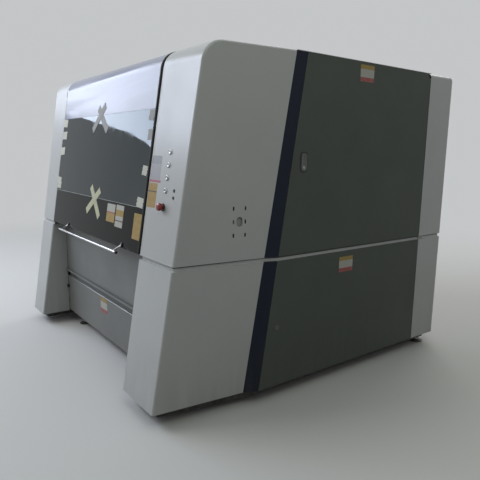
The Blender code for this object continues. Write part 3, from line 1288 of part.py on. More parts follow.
def door_handle():
    """A polished bar across the foot of the door, on two arms with round feet."""
    bar = round_bar((HANDLE_LEFT_X, HANDLE_Y, HANDLE_Z), (HANDLE_RIGHT_X, HANDLE_Y, HANDLE_Z),
                    HANDLE_RADIUS, 20)
    item = add_object("door_handle", bar, "bright")
    pieces = []
    foot_z = HANDLE_Z + HANDLE_ARM_RISE
    for x in (HANDLE_ARM_LEFT_X, HANDLE_ARM_RIGHT_X):
        seat = front_point(x, foot_z, TOUCH)
        pieces.append(round_bar(seat + LEAN_OUT * HANDLE_FOOT_THICK, (x, HANDLE_Y, HANDLE_Z),
                                HANDLE_ARM_RADIUS, 16))
        pieces.append(round_bar(seat, seat + LEAN_OUT * HANDLE_FOOT_THICK, HANDLE_FOOT_RADIUS, 20))
    return fuse(item, *pieces)


def strut_ends(x):
    return Vector((x, STRUT_BASE_Y, STRUT_BASE_Z)), Vector((x, STRUT_TOP_Y, STRUT_TOP_Z))


def gas_strut(name, x):
    """A gas strut: a tube on a necked eye, and a rod that slides in the tube's bore."""
    base, top = strut_ends(x)
    along = (top - base).normalized()
    side = Vector((STRUT_EYE_WIDTH / 2, 0, 0))
    tube_start = base + along * 2 * STRUT_EYE_RADIUS
    tube_end = base + along * STRUT_TUBE_LENGTH
    bore_start = base + along * 3 * STRUT_EYE_RADIUS
    tube = add_object(name + "_tube", round_bar(tube_start, tube_end, STRUT_TUBE_RADIUS, 16), "black", base)
    neck = round_bar(base + along * STRUT_EYE_RADIUS / 2, tube_start + along * STRUT_EYE_RADIUS / 2,
                     STRUT_ROD_RADIUS, 12)
    fuse(tube, neck, round_bar(base - side, base + side, STRUT_EYE_RADIUS, 16))
    cut(tube, round_bar(bore_start, tube_end + along * OVERRUN, STRUT_ROD_RADIUS + STRUT_ROD_CLEAR, 12))
    rod_start = bore_start + along * STRUT_EYE_RADIUS
    rod_mesh = round_bar(rod_start, top - along * STRUT_EYE_RADIUS / 2, STRUT_ROD_RADIUS, 12)
    rod = add_object(name + "_rod", rod_mesh, "bright", top)
    fuse(rod, round_bar(top - side, top + side, STRUT_EYE_RADIUS, 16))
    return tube, rod


# Buttons

def push_button(name, z):
    """A metal-rimmed button whose stem passes the fairing."""
    face = front_point(BUTTON_X, z)
    stem = BUTTON_RADIUS
    profile = [(0, BUTTON_PROUD), (stem - TOUCH, BUTTON_PROUD), (stem, BUTTON_PROUD - TOUCH),
               (stem, -BUTTON_LENGTH), (0, -BUTTON_LENGTH)]
    return add_object(name, turned(profile, face, LEAN_OUT, 20), "steel", face)


def emergency_stop():
    """The red mushroom and its stem."""
    face = front_point(STOP_X, STOP_Z)
    radius = STOP_RADIUS
    neck = STOP_NECK_RADIUS
    base = STOP_TRAVEL_GAP
    rim = base + STOP_CAP
    profile = [(0, rim + STOP_DOME), (radius * DOME_SHARE, rim + STOP_DOME * DOME_SHARE), (radius, rim),
               (radius, base + STOP_CAP / 2), (radius * SKIRT_SHARE, base), (neck, base),
               (neck, -STOP_LENGTH), (0, -STOP_LENGTH)]
    return add_object("emergency_stop", turned(profile, face, LEAN_OUT, 24), "red", face)


# Chamber and cabinets

def chamber_liner():
    """The chamber's inner walls, bent in one and flanged outward onto the waist ring."""
    foot = SEAM_Z + WAIST_HEIGHT / 2 + LINER_SHEET + TOUCH
    bm = bmesh.new()
    rows = []
    for half, rear, z in ((LINER_X, LINER_REAR_Y, LINER_TOP_Z), (LINER_X, LINER_REAR_Y, foot),
                          (LINER_FLANGE_X, LINER_FLANGE_Y, foot)):
        places = ((-half, LINER_FRONT_Y), (-half, rear), (half, rear), (half, LINER_FRONT_Y))
        rows.append([bm.verts.new((x, y, z)) for x, y in places])
    for upper, lower in zip(rows, rows[1:]):
        for k in range(3):
            bm.faces.new((upper[k], upper[k + 1], lower[k + 1], lower[k]))
    face_outward(bm, Vector((0, 1, 1)))
    return solidify(add_object("chamber_liner", mesh_of(bm), "bed_paint"), LINER_SHEET)


def laser_source():
    """The fiber laser's housing, standing on the base frame behind the bed."""
    foot = PLINTH_FOOT_Z + PLINTH_HEIGHT + TOUCH
    rear = REAR_Y - PLINTH_INSET
    low = (SOURCE_X - SOURCE_WIDTH / 2, rear - SOURCE_DEPTH, foot)
    high = (SOURCE_X + SOURCE_WIDTH / 2, rear, foot + SOURCE_HEIGHT)
    bm = bmesh.new()
    bm.from_mesh(block_between(low, high))
    bevel_edges(bm, list(bm.edges), EDGE_ROUND / 2, 2)
    return add_object("laser_source", mesh_of(bm), "grey")


def electrical_cabinet():
    """The box of drives and supplies behind the lower right door."""
    outer = HALF_WIDTH - SIDE_DOOR_PAN - CABINET_DOOR_GAP
    foot = PLINTH_FOOT_Z + PLINTH_HEIGHT + TOUCH
    low = (outer - CABINET_DEPTH, CABINET_Y - CABINET_LENGTH / 2, foot)
    high = (outer, CABINET_Y + CABINET_LENGTH / 2, foot + CABINET_HEIGHT)
    return add_object("electrical_cabinet", block_between(low, high), "bed_paint")


def build():
    for side, name, inner in ((1, "right", PILLAR_INNER_RIGHT), (-1, "left", PILLAR_INNER_LEFT)):
        lower_fairing("lower_fairing_" + name, side, inner)
        upper = upper_fairing("upper_fairing_" + name, side, inner)
        if side > 0:
            drill_controls(upper)
        band("lower_band_" + name, side, COVER_BASE_Z, SEAM_LOW)
        band("upper_band_" + name, side, SEAM_HIGH, ROOF_Z - SHEET - PANEL_GAP / 4)
        lower = side_door("lower_door_" + name, side, COVER_BASE_Z, SEAM_LOW, False)
        upper = side_door("upper_door_" + name, side, SEAM_HIGH, ROOF_Z - SHEET - PANEL_GAP / 2, True)
        paddle_latch("paddle_latch_" + name, side, upper)
        cam_lock("cam_lock_" + name, side, lower)
        guide_rail("guide_rail_" + name, side)
        rack("rack_" + name, side)
        pinion("pinion_" + name, side)
        gantry_motor("gantry_motor_" + name, side)
        gas_strut("strut_" + name, STRUT_RIGHT_X if side > 0 else STRUT_LEFT_X)
    rear_cover("rear_upper_cover", SEAM_HIGH, ROOF_Z, True)
    cut_rear_openings(rear_cover("rear_lower_cover", COVER_BASE_Z, SEAM_LOW, False))
    extraction_duct()
    roof_panel()
    base_frame()
    cover_frame()
    for name, x, y in foot_places():
        levelling_foot("levelling_foot_" + name, x, y)
    bed_frame()
    slat_table()
    gantry_beam()
    carriage()
    head_slide()
    cutting_head()
    nozzle()
    front_panel()
    slag_drawer()
    door_top_shell()
    door_window()
    door_lower_panel()
    door_frame()
    door_handle()
    for k, z in enumerate(button_places()):
        push_button(f"push_button_{k + 1}", z)
    emergency_stop()
    chamber_liner()
    laser_source()
    electrical_cabinet()


def foot_places():
    """Under the plinth's tube: two in the recess at the front, two at the rear corners."""
    middle = PLINTH_INSET + PLINTH_TUBE / 2
    front = RECESS_Y + middle
    rear = REAR_Y - middle
    near = PILLAR_INNER_RIGHT - FOOT_SETBACK
    far = HALF_WIDTH - middle
    return (("front_left", -near, front), ("front_right", near, front), ("rear_left", -far, rear),
            ("rear_right", far, rear))


clear_scene()
PARTS = new_collection("fiber_laser_cutter")
CUTTERS = new_collection("cutters")
build()
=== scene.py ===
"""Looks of an enclosed fiber laser cutting machine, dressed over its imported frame."""
import math

import bmesh
import bpy
from mathutils import Matrix, Vector


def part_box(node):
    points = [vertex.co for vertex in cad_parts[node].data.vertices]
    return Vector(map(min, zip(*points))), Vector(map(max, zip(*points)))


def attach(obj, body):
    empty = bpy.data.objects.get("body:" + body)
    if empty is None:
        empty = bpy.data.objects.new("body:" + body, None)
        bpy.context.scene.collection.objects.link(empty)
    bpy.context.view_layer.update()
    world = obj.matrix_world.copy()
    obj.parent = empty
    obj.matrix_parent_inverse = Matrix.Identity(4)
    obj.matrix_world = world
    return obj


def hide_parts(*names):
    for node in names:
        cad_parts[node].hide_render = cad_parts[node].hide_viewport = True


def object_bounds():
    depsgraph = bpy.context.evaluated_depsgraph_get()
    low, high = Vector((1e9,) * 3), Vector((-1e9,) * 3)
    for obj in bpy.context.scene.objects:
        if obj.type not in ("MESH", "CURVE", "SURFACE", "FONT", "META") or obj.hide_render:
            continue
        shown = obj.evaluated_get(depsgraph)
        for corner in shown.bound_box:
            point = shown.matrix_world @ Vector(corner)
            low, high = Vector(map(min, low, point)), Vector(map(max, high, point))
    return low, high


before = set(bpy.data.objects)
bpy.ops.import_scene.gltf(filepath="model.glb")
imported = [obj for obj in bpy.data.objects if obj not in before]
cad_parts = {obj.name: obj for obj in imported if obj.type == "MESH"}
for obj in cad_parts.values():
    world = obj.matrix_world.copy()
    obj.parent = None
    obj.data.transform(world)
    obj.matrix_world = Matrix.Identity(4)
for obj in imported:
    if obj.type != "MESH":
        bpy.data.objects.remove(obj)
cad_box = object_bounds()

# Camera
# It stands right of the front, a little above the operator's buttons, and looks
# down slightly, as the photographer did.
CAMERA_PLACE = Vector((3.0902, -2.1215, 1.3592))
CAMERA_YAW = math.radians(53.166)
CAMERA_PITCH = math.radians(10.103)
CAMERA_ROLL = math.radians(0.869)
CAMERA_LENS = 37.31
CAMERA_SENSOR = 36.0

look = Vector((-math.sin(CAMERA_YAW) * math.cos(CAMERA_PITCH),
               math.cos(CAMERA_YAW) * math.cos(CAMERA_PITCH), -math.sin(CAMERA_PITCH)))
level = Vector((math.cos(CAMERA_YAW), math.sin(CAMERA_YAW), 0))
upright = level.cross(look)
camera_x = level * math.cos(CAMERA_ROLL) + upright * math.sin(CAMERA_ROLL)
camera_y = upright * math.cos(CAMERA_ROLL) - level * math.sin(CAMERA_ROLL)
lens = bpy.data.cameras.new("photo_camera")
lens.sensor_width = CAMERA_SENSOR
lens.lens = CAMERA_LENS
camera = bpy.data.objects.new("photo_camera", lens)
camera_axes = Matrix((camera_x, camera_y, -look)).transposed().to_4x4()
camera.matrix_world = Matrix.Translation(CAMERA_PLACE) @ camera_axes
bpy.context.scene.collection.objects.link(camera)
bpy.context.scene.camera = camera
bpy.context.scene.view_settings.view_transform = "Standard"


# Floor and lamps
# A plain pale floor runs out into a pale sky. A tall soft lamp at the left is what the
# window's upper corner mirrors, a second lights the front, and the right lies in shade.
FLOOR_SIZE = 60.0
FLOOR_SEEN = (0.78, 0.78, 0.77, 1.0)
FLOOR_BOUNCE = (0.2, 0.2, 0.19, 1.0)
FLOOR_FADE_START = 2.2
FLOOR_FADE_END = 7.0
SKY_SEEN = (0.55, 0.565, 0.575, 1.0)
SKY_LIGHT = (0.86, 0.9, 0.86, 1.0)
SKY_STRENGTH = 0.18
LAMPS = (
    ("window_lamp", (-5.0, -3.6, 3.75), (-0.1, -0.9, 1.2), 3.6, 2.7, 165, (0.76, 0.83, 1.0)),
    ("front_lamp", (-1.8, -4.3, 4.6), (0.0, -0.9, 1.2), 2.6, 1.8, 72, (0.98, 0.99, 1.0)),
    ("rear_lamp", (-2.2, 6.0, 4.6), (0.0, 0.9, 0.9), 5.2, 3.8, 125, (1.0, 0.98, 0.94)),
    ("right_lamp", (3.6, -1.4, 4.4), (1.1, -0.3, 1.3), 2.4, 2.0, 22, (0.95, 1.0, 0.9)),
    ("roof_lamp", (-0.5, 0.5, 6.0), (0.0, 0.0, 1.0), 5.0, 4.0, 44, (0.95, 0.98, 1.0)),
)


def add_node(tree, kind, inputs=None, **settings):
    """A shader node with its settings, and its inputs given as values or as sockets to link."""
    made = tree.nodes.new("ShaderNode" + kind)
    for key, value in settings.items():
        setattr(made, key, value)
    for key, value in (inputs or {}).items():
        if isinstance(value, bpy.types.NodeSocket):
            tree.links.new(value, made.inputs[key])
        else:
            made.inputs[key].default_value = value
    return made


def maths(tree, work, *values):
    """The result of one sum on numbers or sockets."""
    return add_node(tree, "Math", dict(enumerate(values)), operation=work).outputs[0]


def blended(tree, share, first, second):
    """A colour between two, by a share from 0 to 1."""
    return add_node(tree, "Mix", {0: share, 6: first, 7: second}, data_type="RGBA").outputs[2]


def spread(tree, value, low=0.0, high=1.0, to_low=0.0, to_high=1.0, **settings):
    """A value taken from one range to another, and kept inside it."""
    inputs = {0: value, 1: low, 2: high, 3: to_low, 4: to_high}
    return add_node(tree, "MapRange", inputs, **settings).outputs[0]


def where(tree):
    """Where a point lies on its piece."""
    return add_node(tree, "TexCoord").outputs["Object"]


def feed(target, **sockets):
    """Link results to the inputs of a node; Base_Color stands for Base Color."""
    for label, source in sockets.items():
        target.id_data.links.new(source, target.inputs[label.replace("_", " ")])


def principled(name, colour, roughness, metallic=0.0, **sockets):
    """A material, its node tree and its Principled shader."""
    material = bpy.data.materials.new(name)
    material.use_nodes = True
    tree = material.node_tree
    shader = tree.nodes["Principled BSDF"]
    shader.inputs["Base Color"].default_value = (*colour, 1.0)
    shader.inputs["Roughness"].default_value = roughness
    shader.inputs["Metallic"].default_value = metallic
    for label, value in sockets.items():
        shader.inputs[label.replace("_", " ")].default_value = value
    return material, tree, shader


floor_shape = bmesh.new()
bmesh.ops.create_grid(floor_shape, x_segments=1, y_segments=1, size=FLOOR_SIZE / 2)
floor_mesh = bpy.data.meshes.new("floor")
floor_shape.to_mesh(floor_mesh)
floor_shape.free()
floor = bpy.data.objects.new("floor", floor_mesh)
bpy.context.scene.collection.objects.link(floor)
pale_floor, tree, shader = principled("pale_floor", FLOOR_SEEN[:3], 0.8)
bounced = add_node(tree, "LightPath").outputs["Is Diffuse Ray"]
feed(shader, Base_Color=blended(tree, bounced, FLOOR_SEEN, FLOOR_BOUNCE))
reach = add_node(tree, "VectorMath", {0: where(tree)}, operation="LENGTH").outputs["Value"]
far = spread(tree, reach, FLOOR_FADE_START, FLOOR_FADE_END, interpolation_type="SMOOTHSTEP")
far_seen = maths(tree, "MULTIPLY", far, maths(tree, "SUBTRACT", 1.0, bounced))
glow = add_node(tree, "Emission", {"Color": SKY_SEEN})
faded = add_node(tree, "MixShader", {0: far_seen, 1: shader.outputs[0], 2: glow.outputs[0]})
feed(tree.nodes["Material Output"], Surface=faded.outputs[0])
floor_mesh.materials.append(pale_floor)

sky = bpy.data.worlds.new("studio_sky")
bpy.context.scene.world = sky
sky.use_nodes = True
tree = sky.node_tree
tree.nodes.clear()
paths = add_node(tree, "LightPath").outputs
seen = maths(tree, "MAXIMUM", maths(tree, "MAXIMUM", paths["Is Camera Ray"], paths["Is Glossy Ray"]),
             paths["Is Transmission Ray"])
lighting = add_node(tree, "Background", {"Color": SKY_LIGHT, "Strength": SKY_STRENGTH})
backdrop = add_node(tree, "Background", {"Color": SKY_SEEN, "Strength": 1.0})
either = add_node(tree, "MixShader", {0: seen, 1: lighting.outputs[0], 2: backdrop.outputs[0]})
add_node(tree, "OutputWorld", {"Surface": either.outputs[0]})

for name, place, aim, width, height, power, tint in LAMPS:
    lamp = bpy.data.lights.new(name, "AREA")
    lamp.shape = "RECTANGLE"
    lamp.size = width
    lamp.size_y = height
    lamp.energy = power
    lamp.color = tint
    stand = bpy.data.objects.new(name, lamp)
    stand.location = place
    stand.rotation_euler = (Vector(aim) - Vector(place)).to_track_quat("-Z", "Y").to_euler()
    bpy.context.scene.collection.objects.link(stand)


# White covers: four front fairings, two rear covers and the roof sheet
# Folded steel sheet in an off-white satin powder coat, with soft bends, fine orange
# peel and a little workshop dust near the floor.
JOIN = 0.00002
SHARP_ANGLE = math.radians(40)
WHITE = (0.64, 0.655, 0.655)
GRIME = (0.05, 0.05, 0.05, 1.0)
DUST_COLOUR = (0.3, 0.28, 0.24, 1.0)
DUST_TOP = 0.55
PEEL_SIZE = 420.0


def new_group(name, inputs, outputs):
    """A shader node group with named sockets, what it is given, and its end node."""
    tree = bpy.data.node_groups.new(name, "ShaderNodeTree")
    for way, sockets in (("INPUT", inputs), ("OUTPUT", outputs)):
        for label, kind in sockets.items():
            tree.interface.new_socket(label, in_out=way, socket_type="NodeSocket" + kind)
    return tree, tree.nodes.new("NodeGroupInput").outputs, tree.nodes.new("NodeGroupOutput")


def clouds(tree, place, scale, detail=2.0, **more):
    """Cloudy noise over a place."""
    inputs = {"Vector": place, "Scale": scale, "Detail": detail, **more}
    return add_node(tree, "TexNoise", inputs).outputs["Fac"]


def along(tree, place, axis):
    """One of the three parts of a place: X, Y or Z."""
    return add_node(tree, "SeparateXYZ", {0: place}).outputs[axis]


def relief(tree, height, depth, strength=1.0, **more):
    """A surface normal that follows a height."""
    inputs = {"Height": height, "Distance": depth, "Strength": strength, **more}
    return add_node(tree, "Bump", inputs).outputs["Normal"]


coat_group, given, end = new_group(
    "powder_coat",
    {"Colour": "Color", "Rough": "Float", "Mottle": "Float", "Dust": "Float"},
    {"Colour": "Color", "Roughness": "Float", "Height": "Float"})
tree = coat_group
place = where(tree)
streaks = add_node(tree, "Mapping", {"Vector": place, "Scale": (26.0, 26.0, 2.2)}).outputs[0]
shade = spread(tree, clouds(tree, place, 2.6, 5.0, Roughness=0.6), 0.35, 0.68)
mottled = blended(tree, maths(tree, "MULTIPLY", shade, given["Mottle"]), given["Colour"], GRIME)
near_floor = maths(tree, "POWER", spread(tree, along(tree, place, "Z"), 0.0, DUST_TOP, 1.0, 0.0), 2.0)
dust = maths(tree, "MULTIPLY", near_floor, spread(tree, clouds(tree, streaks, 1.0, 4.0), 0.32, 0.7))
dust = maths(tree, "MULTIPLY", dust, given["Dust"])
rough = maths(tree, "ADD", maths(tree, "MULTIPLY", shade, 0.1), given["Rough"])
feed(end, Colour=blended(tree, dust, mottled, DUST_COLOUR),
     Roughness=maths(tree, "MULTIPLY_ADD", dust, 0.4, rough), Height=clouds(tree, place, PEEL_SIZE))


def coated(name, colour, rough, mottle=0.05, dust=0.35, depth=0.00012, **sockets):
    """A powder coat of one colour."""
    material, tree, shader = principled(name, colour, rough, **sockets)
    coat = add_node(tree, "Group", {"Colour": (*colour, 1.0), "Rough": rough, "Mottle": mottle,
                                    "Dust": dust}, node_tree=coat_group).outputs
    feed(shader, Base_Color=coat["Colour"], Roughness=coat["Roughness"],
         Normal=relief(tree, coat["Height"], depth, 0.6))
    return material


def mount(name, shapes, material, body, slot, *stands_for):
    """Make bmesh shapes one smooth piece with crisp edges, and let it ride on its body."""
    whole = bmesh.new()
    for shape in shapes if isinstance(shapes, list) else [shapes]:
        part = bpy.data.meshes.new("part")
        shape.to_mesh(part)
        shape.free()
        whole.from_mesh(part)
        bpy.data.meshes.remove(part)
    mesh = bpy.data.meshes.new(name)
    whole.to_mesh(mesh)
    whole.free()
    mesh.materials.clear()
    mesh.materials.append(material)
    mesh.polygons.foreach_set("use_smooth", [True] * len(mesh.polygons))
    mesh.set_sharp_from_angle(angle=SHARP_ANGLE)
    piece = bpy.data.objects.new(name, mesh)
    bpy.context.scene.collection.objects.link(piece)
    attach(piece, body)
    if stands_for:
        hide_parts(*stands_for)
    return piece


def sheet_copy(node, name, material, body, slot):
    """A CAD sheet with its triangles joined, whose flats set how its bends shade."""
    shape = bmesh.new()
    shape.from_mesh(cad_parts[node].data)
    bmesh.ops.remove_doubles(shape, verts=shape.verts, dist=JOIN)
    step = mount(name, shape, material, body, slot, node).modifiers.new("Even shading", "WEIGHTED_NORMAL")
    step.keep_sharp = True
    step.weight = 90


def dress(material, *nodes):
    """Give CAD nodes that keep their meshes their finish."""
    for node in nodes:
        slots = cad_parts[node].data.materials
        slots.clear()
        slots.append(material)


white_coat = coated("white_powder_coat", WHITE, 0.28, dust=0.3)
for node in ("lower_fairing_right", "lower_fairing_left", "upper_fairing_right", "upper_fairing_left",
             "rear_upper_cover", "rear_lower_cover"):
    sheet_copy(node, node + "_sheet", white_coat, "machine", "white_powder_coat")
dress(white_coat, "roof_panel")


# Navy bands between the fairings and the side doors
# The same folded sheet as the fairings, coated in a very dark satin navy. The cover
# frame holds them from behind.
navy_coat = coated("navy_band_coat", (0.004, 0.009, 0.023), 0.5, mottle=0.1, dust=0.12,
                   Specular_IOR_Level=0.25)
for node in ("lower_band_right", "lower_band_left", "upper_band_right", "upper_band_left"):
    sheet_copy(node, node + "_sheet", navy_coat, "machine", "navy_band_coat")


# Side doors, stiffened behind
# Folded pans in a darker grey coat. Two hat sections are welded inside each, and they
# turn on hidden hinges at their rear edge.
RIB_DEPTH = 0.012
RIB_WIDTH = 0.07
RIB_INSET = 0.11
RIB_BEND = 0.003
RIB_SHARES = (0.3, 0.66)
DOOR_SKIN = 0.0022
EDGE_ANGLE = math.radians(30)


def box_shape(corner, opposite):
    """A box between two corners."""
    low, high = (Vector([pick(pair) for pair in zip(corner, opposite)]) for pick in (min, max))
    shape = bmesh.new()
    bmesh.ops.create_cube(shape, size=1.0)
    bmesh.ops.scale(shape, vec=high - low, verts=shape.verts)
    bmesh.ops.translate(shape, vec=(low + high) / 2, verts=shape.verts)
    return shape


def soften(shape, width):
    """Round the edges of a shape that bend by more than a slight angle."""
    bends = [edge for edge in shape.edges if len(edge.link_faces) == 2
             and edge.calc_face_angle(0) > EDGE_ANGLE]
    bmesh.ops.bevel(shape, geom=bends, offset=width, offset_type="OFFSET", segments=2, profile=0.5,
                    affect="EDGES", clamp_overlap=True, material=-1)
    return shape


grey_coat = coated("grey_powder_coat", (0.116, 0.132, 0.116), 0.54, mottle=0.12, dust=0.12,
                   Specular_IOR_Level=0.25)
for side, hand in ((1, "right"), (-1, "left")):
    for floor_name in ("upper", "lower"):
        node = f"{floor_name}_door_{hand}"
        sheet_copy(node, node + "_pan", grey_coat, node + "_body", "grey_powder_coat")
        low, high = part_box(node)
        skin = (high.x if side > 0 else -low.x) - DOOR_SKIN
        ribs = []
        for share in RIB_SHARES:
            z = low.z + (high.z - low.z) * share
            rib = box_shape((side * skin, low.y + RIB_INSET * 2, z - RIB_WIDTH / 2),
                            (side * (skin - RIB_DEPTH), high.y - RIB_INSET, z + RIB_WIDTH / 2))
            ribs.append(soften(rib, RIB_BEND))
        mount(node + "_stiffeners", ribs, grey_coat, node + "_body", "grey_powder_coat")


# Paddle latches on the upper doors
# Die-cast paddles in a dark grey coat with a key cylinder at their foot, each in a
# thin black surround over its window in the door, with a pressed tray behind it.
STAIN_COLOUR = (0.16, 0.14, 0.12, 1.0)
metal_group, given, end = new_group(
    "metal_surface",
    {"Stretch": "Vector", "Rough": "Float", "Spread": "Float", "Colour": "Color", "Stain": "Float"},
    {"Colour": "Color", "Roughness": "Float", "Height": "Float"})
tree = metal_group
place = where(tree)
drawn_out = add_node(tree, "VectorMath", {0: place, 1: given["Stretch"]}, operation="MULTIPLY").outputs[0]
lines = clouds(tree, drawn_out, 1.0, 3.0)
stained = maths(tree, "MULTIPLY", spread(tree, clouds(tree, place, 9.0, 5.0), 0.45, 0.72), given["Stain"])
feed(end, Colour=blended(tree, stained, given["Colour"], STAIN_COLOUR),
     Roughness=maths(tree, "MULTIPLY_ADD", lines, given["Spread"], given["Rough"]), Height=lines)


def bare_metal(name, colour, rough, stretch=(300.0, 300.0, 300.0), vary=0.12, stain=0.15):
    """A bare or plated metal with the grain of its machining."""
    material, tree, shader = principled(name, colour, rough, 1.0)
    grain = add_node(tree, "Group", {"Stretch": stretch, "Rough": rough, "Spread": vary,
                                     "Colour": (*colour, 1.0), "Stain": stain}, node_tree=metal_group).outputs
    feed(shader, Base_Color=grain["Colour"], Roughness=grain["Roughness"],
         Normal=relief(tree, grain["Height"], 0.00006, 0.5))
    return material


def lay(shape, matrix):
    """Move a shape to its place."""
    bmesh.ops.transform(shape, matrix=matrix, verts=shape.verts)
    return shape


def turned(profile, place, axis, segments):
    """A closed turning of (radius, height) points about an axis through a place."""
    shape = bmesh.new()
    points = [shape.verts.new((radius, 0, height)) for radius, height in profile]
    ring = [shape.edges.new(pair) for pair in zip(points, points[1:])]
    bmesh.ops.spin(shape, geom=points + ring, cent=(0, 0, 0), axis=(0, 0, 1), angle=2 * math.pi,
                   steps=segments, use_merge=True)
    bmesh.ops.remove_doubles(shape, verts=shape.verts, dist=JOIN)
    turn = Vector(axis).to_track_quat("Z", "Y").to_matrix().to_4x4()
    lay(shape, Matrix.Translation(place) @ turn)
    bmesh.ops.recalc_face_normals(shape, faces=shape.faces)
    return shape


def thicken(shape, faces, reach):
    """Raise faces into a closed body along a vector."""
    raised = bmesh.ops.extrude_face_region(shape, geom=list(faces))["geom"]
    corners = [item for item in raised if isinstance(item, bmesh.types.BMVert)]
    bmesh.ops.translate(shape, vec=reach, verts=corners)
    bmesh.ops.recalc_face_normals(shape, faces=shape.faces)


def rounded_plate(width, height, radius, thick, segments=8):
    """A flat plate in X and Y with round corners, from Z 0 up to its thickness."""
    plate = bmesh.new()
    bmesh.ops.create_grid(plate, x_segments=1, y_segments=1, size=0.5)
    bmesh.ops.scale(plate, vec=(width, height, 1), verts=plate.verts)
    bmesh.ops.bevel(plate, geom=list(plate.verts), offset=radius, offset_type="OFFSET", segments=segments,
                    profile=0.5, affect="VERTICES", clamp_overlap=True, material=-1)
    thicken(plate, plate.faces, (0, 0, thick))
    return plate


def side_axes(side, x, y, z):
    """Places a shape drawn flat in X and Y on a side of the machine, facing out."""
    axes = Matrix(((0, side, 0), (0, 0, 1), (side, 0, 0))).transposed().to_4x4()
    return Matrix.Translation((x, y, z)) @ axes


LATCH_TRAY_DEPTH = 0.018
LATCH_TRAY_SIDE = 0.003
LATCH_TRAY_ABOVE = 0.009
LATCH_TRAY_BACK = 0.006
LATCH_TRAY_SHEET = 0.001
LATCH_ROUND = 0.0165
LATCH_RIM = 0.004
LATCH_DISH = 0.0016
LATCH_EDGE = 0.0006
LATCH_FRAME = 0.0075
LATCH_FRAME_LAP = 0.0006
LATCH_FRAME_ROUND = LATCH_ROUND + 0.004
LATCH_FRAME_THICK = 0.0022
LATCH_FRAME_BACK = 0.0039
KEY_RADIUS = 0.0085
KEY_DROP = 0.029
latch_grey = coated("latch_grey", (0.15, 0.16, 0.15), 0.34, mottle=0.15, dust=0.0)
latch_black = coated("latch_black", (0.016, 0.017, 0.017), 0.4, mottle=0.1, dust=0.0)
key_metal = bare_metal("key_cylinder", (0.26, 0.26, 0.25), 0.3)
for side, hand in ((1, "right"), (-1, "left")):
    node = f"paddle_latch_{hand}"
    door = f"upper_door_{hand}_body"
    low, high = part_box(node)
    outer = high.x if side > 0 else low.x
    middle = (low + high) / 2
    thick = high.x - low.x
    paddle = rounded_plate(high.y - low.y, high.z - low.z, LATCH_ROUND, thick)
    paddle_face = max(paddle.faces, key=lambda face: face.normal.z * face.calc_area())
    bmesh.ops.inset_region(paddle, faces=[paddle_face], thickness=LATCH_RIM)
    bmesh.ops.translate(paddle, vec=(0, 0, -LATCH_DISH), verts=paddle_face.verts)
    soften(paddle, LATCH_EDGE)
    lay(paddle, side_axes(side, outer - side * thick, middle.y, middle.z))
    mount(node + "_paddle", paddle, latch_grey, node + "_body", "steel", node)
    key = turned([(0, 0.0002), (0.0016, 0.0002), (0.0018, 0.0012), (KEY_RADIUS - 0.0006, 0.0014),
                  (KEY_RADIUS, 0.0008), (KEY_RADIUS, -0.004), (0, -0.004)],
                 (outer - side * LATCH_DISH, middle.y, middle.z - KEY_DROP), (side, 0, 0), 28)
    mount(node + "_key", key, key_metal, node + "_body", "steel")
    sheet_back = outer - side * LATCH_TRAY_BACK
    tray = box_shape((sheet_back, low.y - LATCH_TRAY_SIDE, low.z - LATCH_TRAY_SIDE),
                     (sheet_back - side * LATCH_TRAY_DEPTH, high.y + LATCH_TRAY_SIDE,
                      high.z + LATCH_TRAY_ABOVE))
    bmesh.ops.delete(tray, geom=[face for face in tray.faces if face.normal.x * side > 0.5],
                     context="FACES_ONLY")
    bmesh.ops.solidify(tray, geom=list(tray.faces), thickness=-LATCH_TRAY_SHEET)
    bmesh.ops.recalc_face_normals(tray, faces=tray.faces)
    mount(node + "_tray", tray, latch_black, door, "steel")
    surround = rounded_plate(high.y - low.y + 2 * LATCH_FRAME, high.z - low.z + 2 * LATCH_FRAME,
                             LATCH_FRAME_ROUND, LATCH_FRAME_THICK)
    mouth = [face for face in surround.faces if abs(face.normal.z) > 0.9]
    for face in mouth:
        bmesh.ops.inset_region(surround, faces=[face], thickness=LATCH_FRAME - LATCH_FRAME_LAP)
    bmesh.ops.bridge_loops(surround, edges=list({edge for face in mouth for edge in face.edges}))
    bmesh.ops.delete(surround, geom=mouth, context="FACES_ONLY")
    bmesh.ops.recalc_face_normals(surround, faces=surround.faces)
    soften(surround, LATCH_EDGE)
    lay(surround, side_axes(side, outer - side * LATCH_FRAME_BACK, middle.y, middle.z))
    mount(node + "_surround", surround, latch_black, door, "steel")


# Cam locks on the lower doors
# Dark quarter-turn locks with a key slot in their face. A steel tongue behind the
# sheet turns with the barrel.
LOCK_CENTRE_DROP = 0.016
KEY_SLOT_HALF = (0.0014, 0.007)
KEY_SLOT_DEPTH = 0.0012
KEY_SLOT_PROUD = 0.0002
KEY_SLOT_EDGE = 0.0004
plated = bare_metal("plated_steel", (0.58, 0.58, 0.57), 0.28, vary=0.1)
slot_dark = coated("slot_shadow", (0.008, 0.008, 0.008), 0.6, mottle=0.2, dust=0.0)
for side, hand in ((1, "right"), (-1, "left")):
    node = f"cam_lock_{hand}"
    low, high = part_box(node)
    sheet_copy(node, node + "_barrel", latch_grey, node + "_body", "steel")
    outer = high.x if side > 0 else low.x
    y, z = (low.y + high.y) / 2, high.z - LOCK_CENTRE_DROP
    notch = box_shape((outer - side * KEY_SLOT_DEPTH, y - KEY_SLOT_HALF[0], z - KEY_SLOT_HALF[1]),
                      (outer + side * KEY_SLOT_PROUD, y + KEY_SLOT_HALF[0], z + KEY_SLOT_HALF[1]))
    mount(node + "_slot", soften(notch, KEY_SLOT_EDGE), slot_dark, node + "_body", "steel")


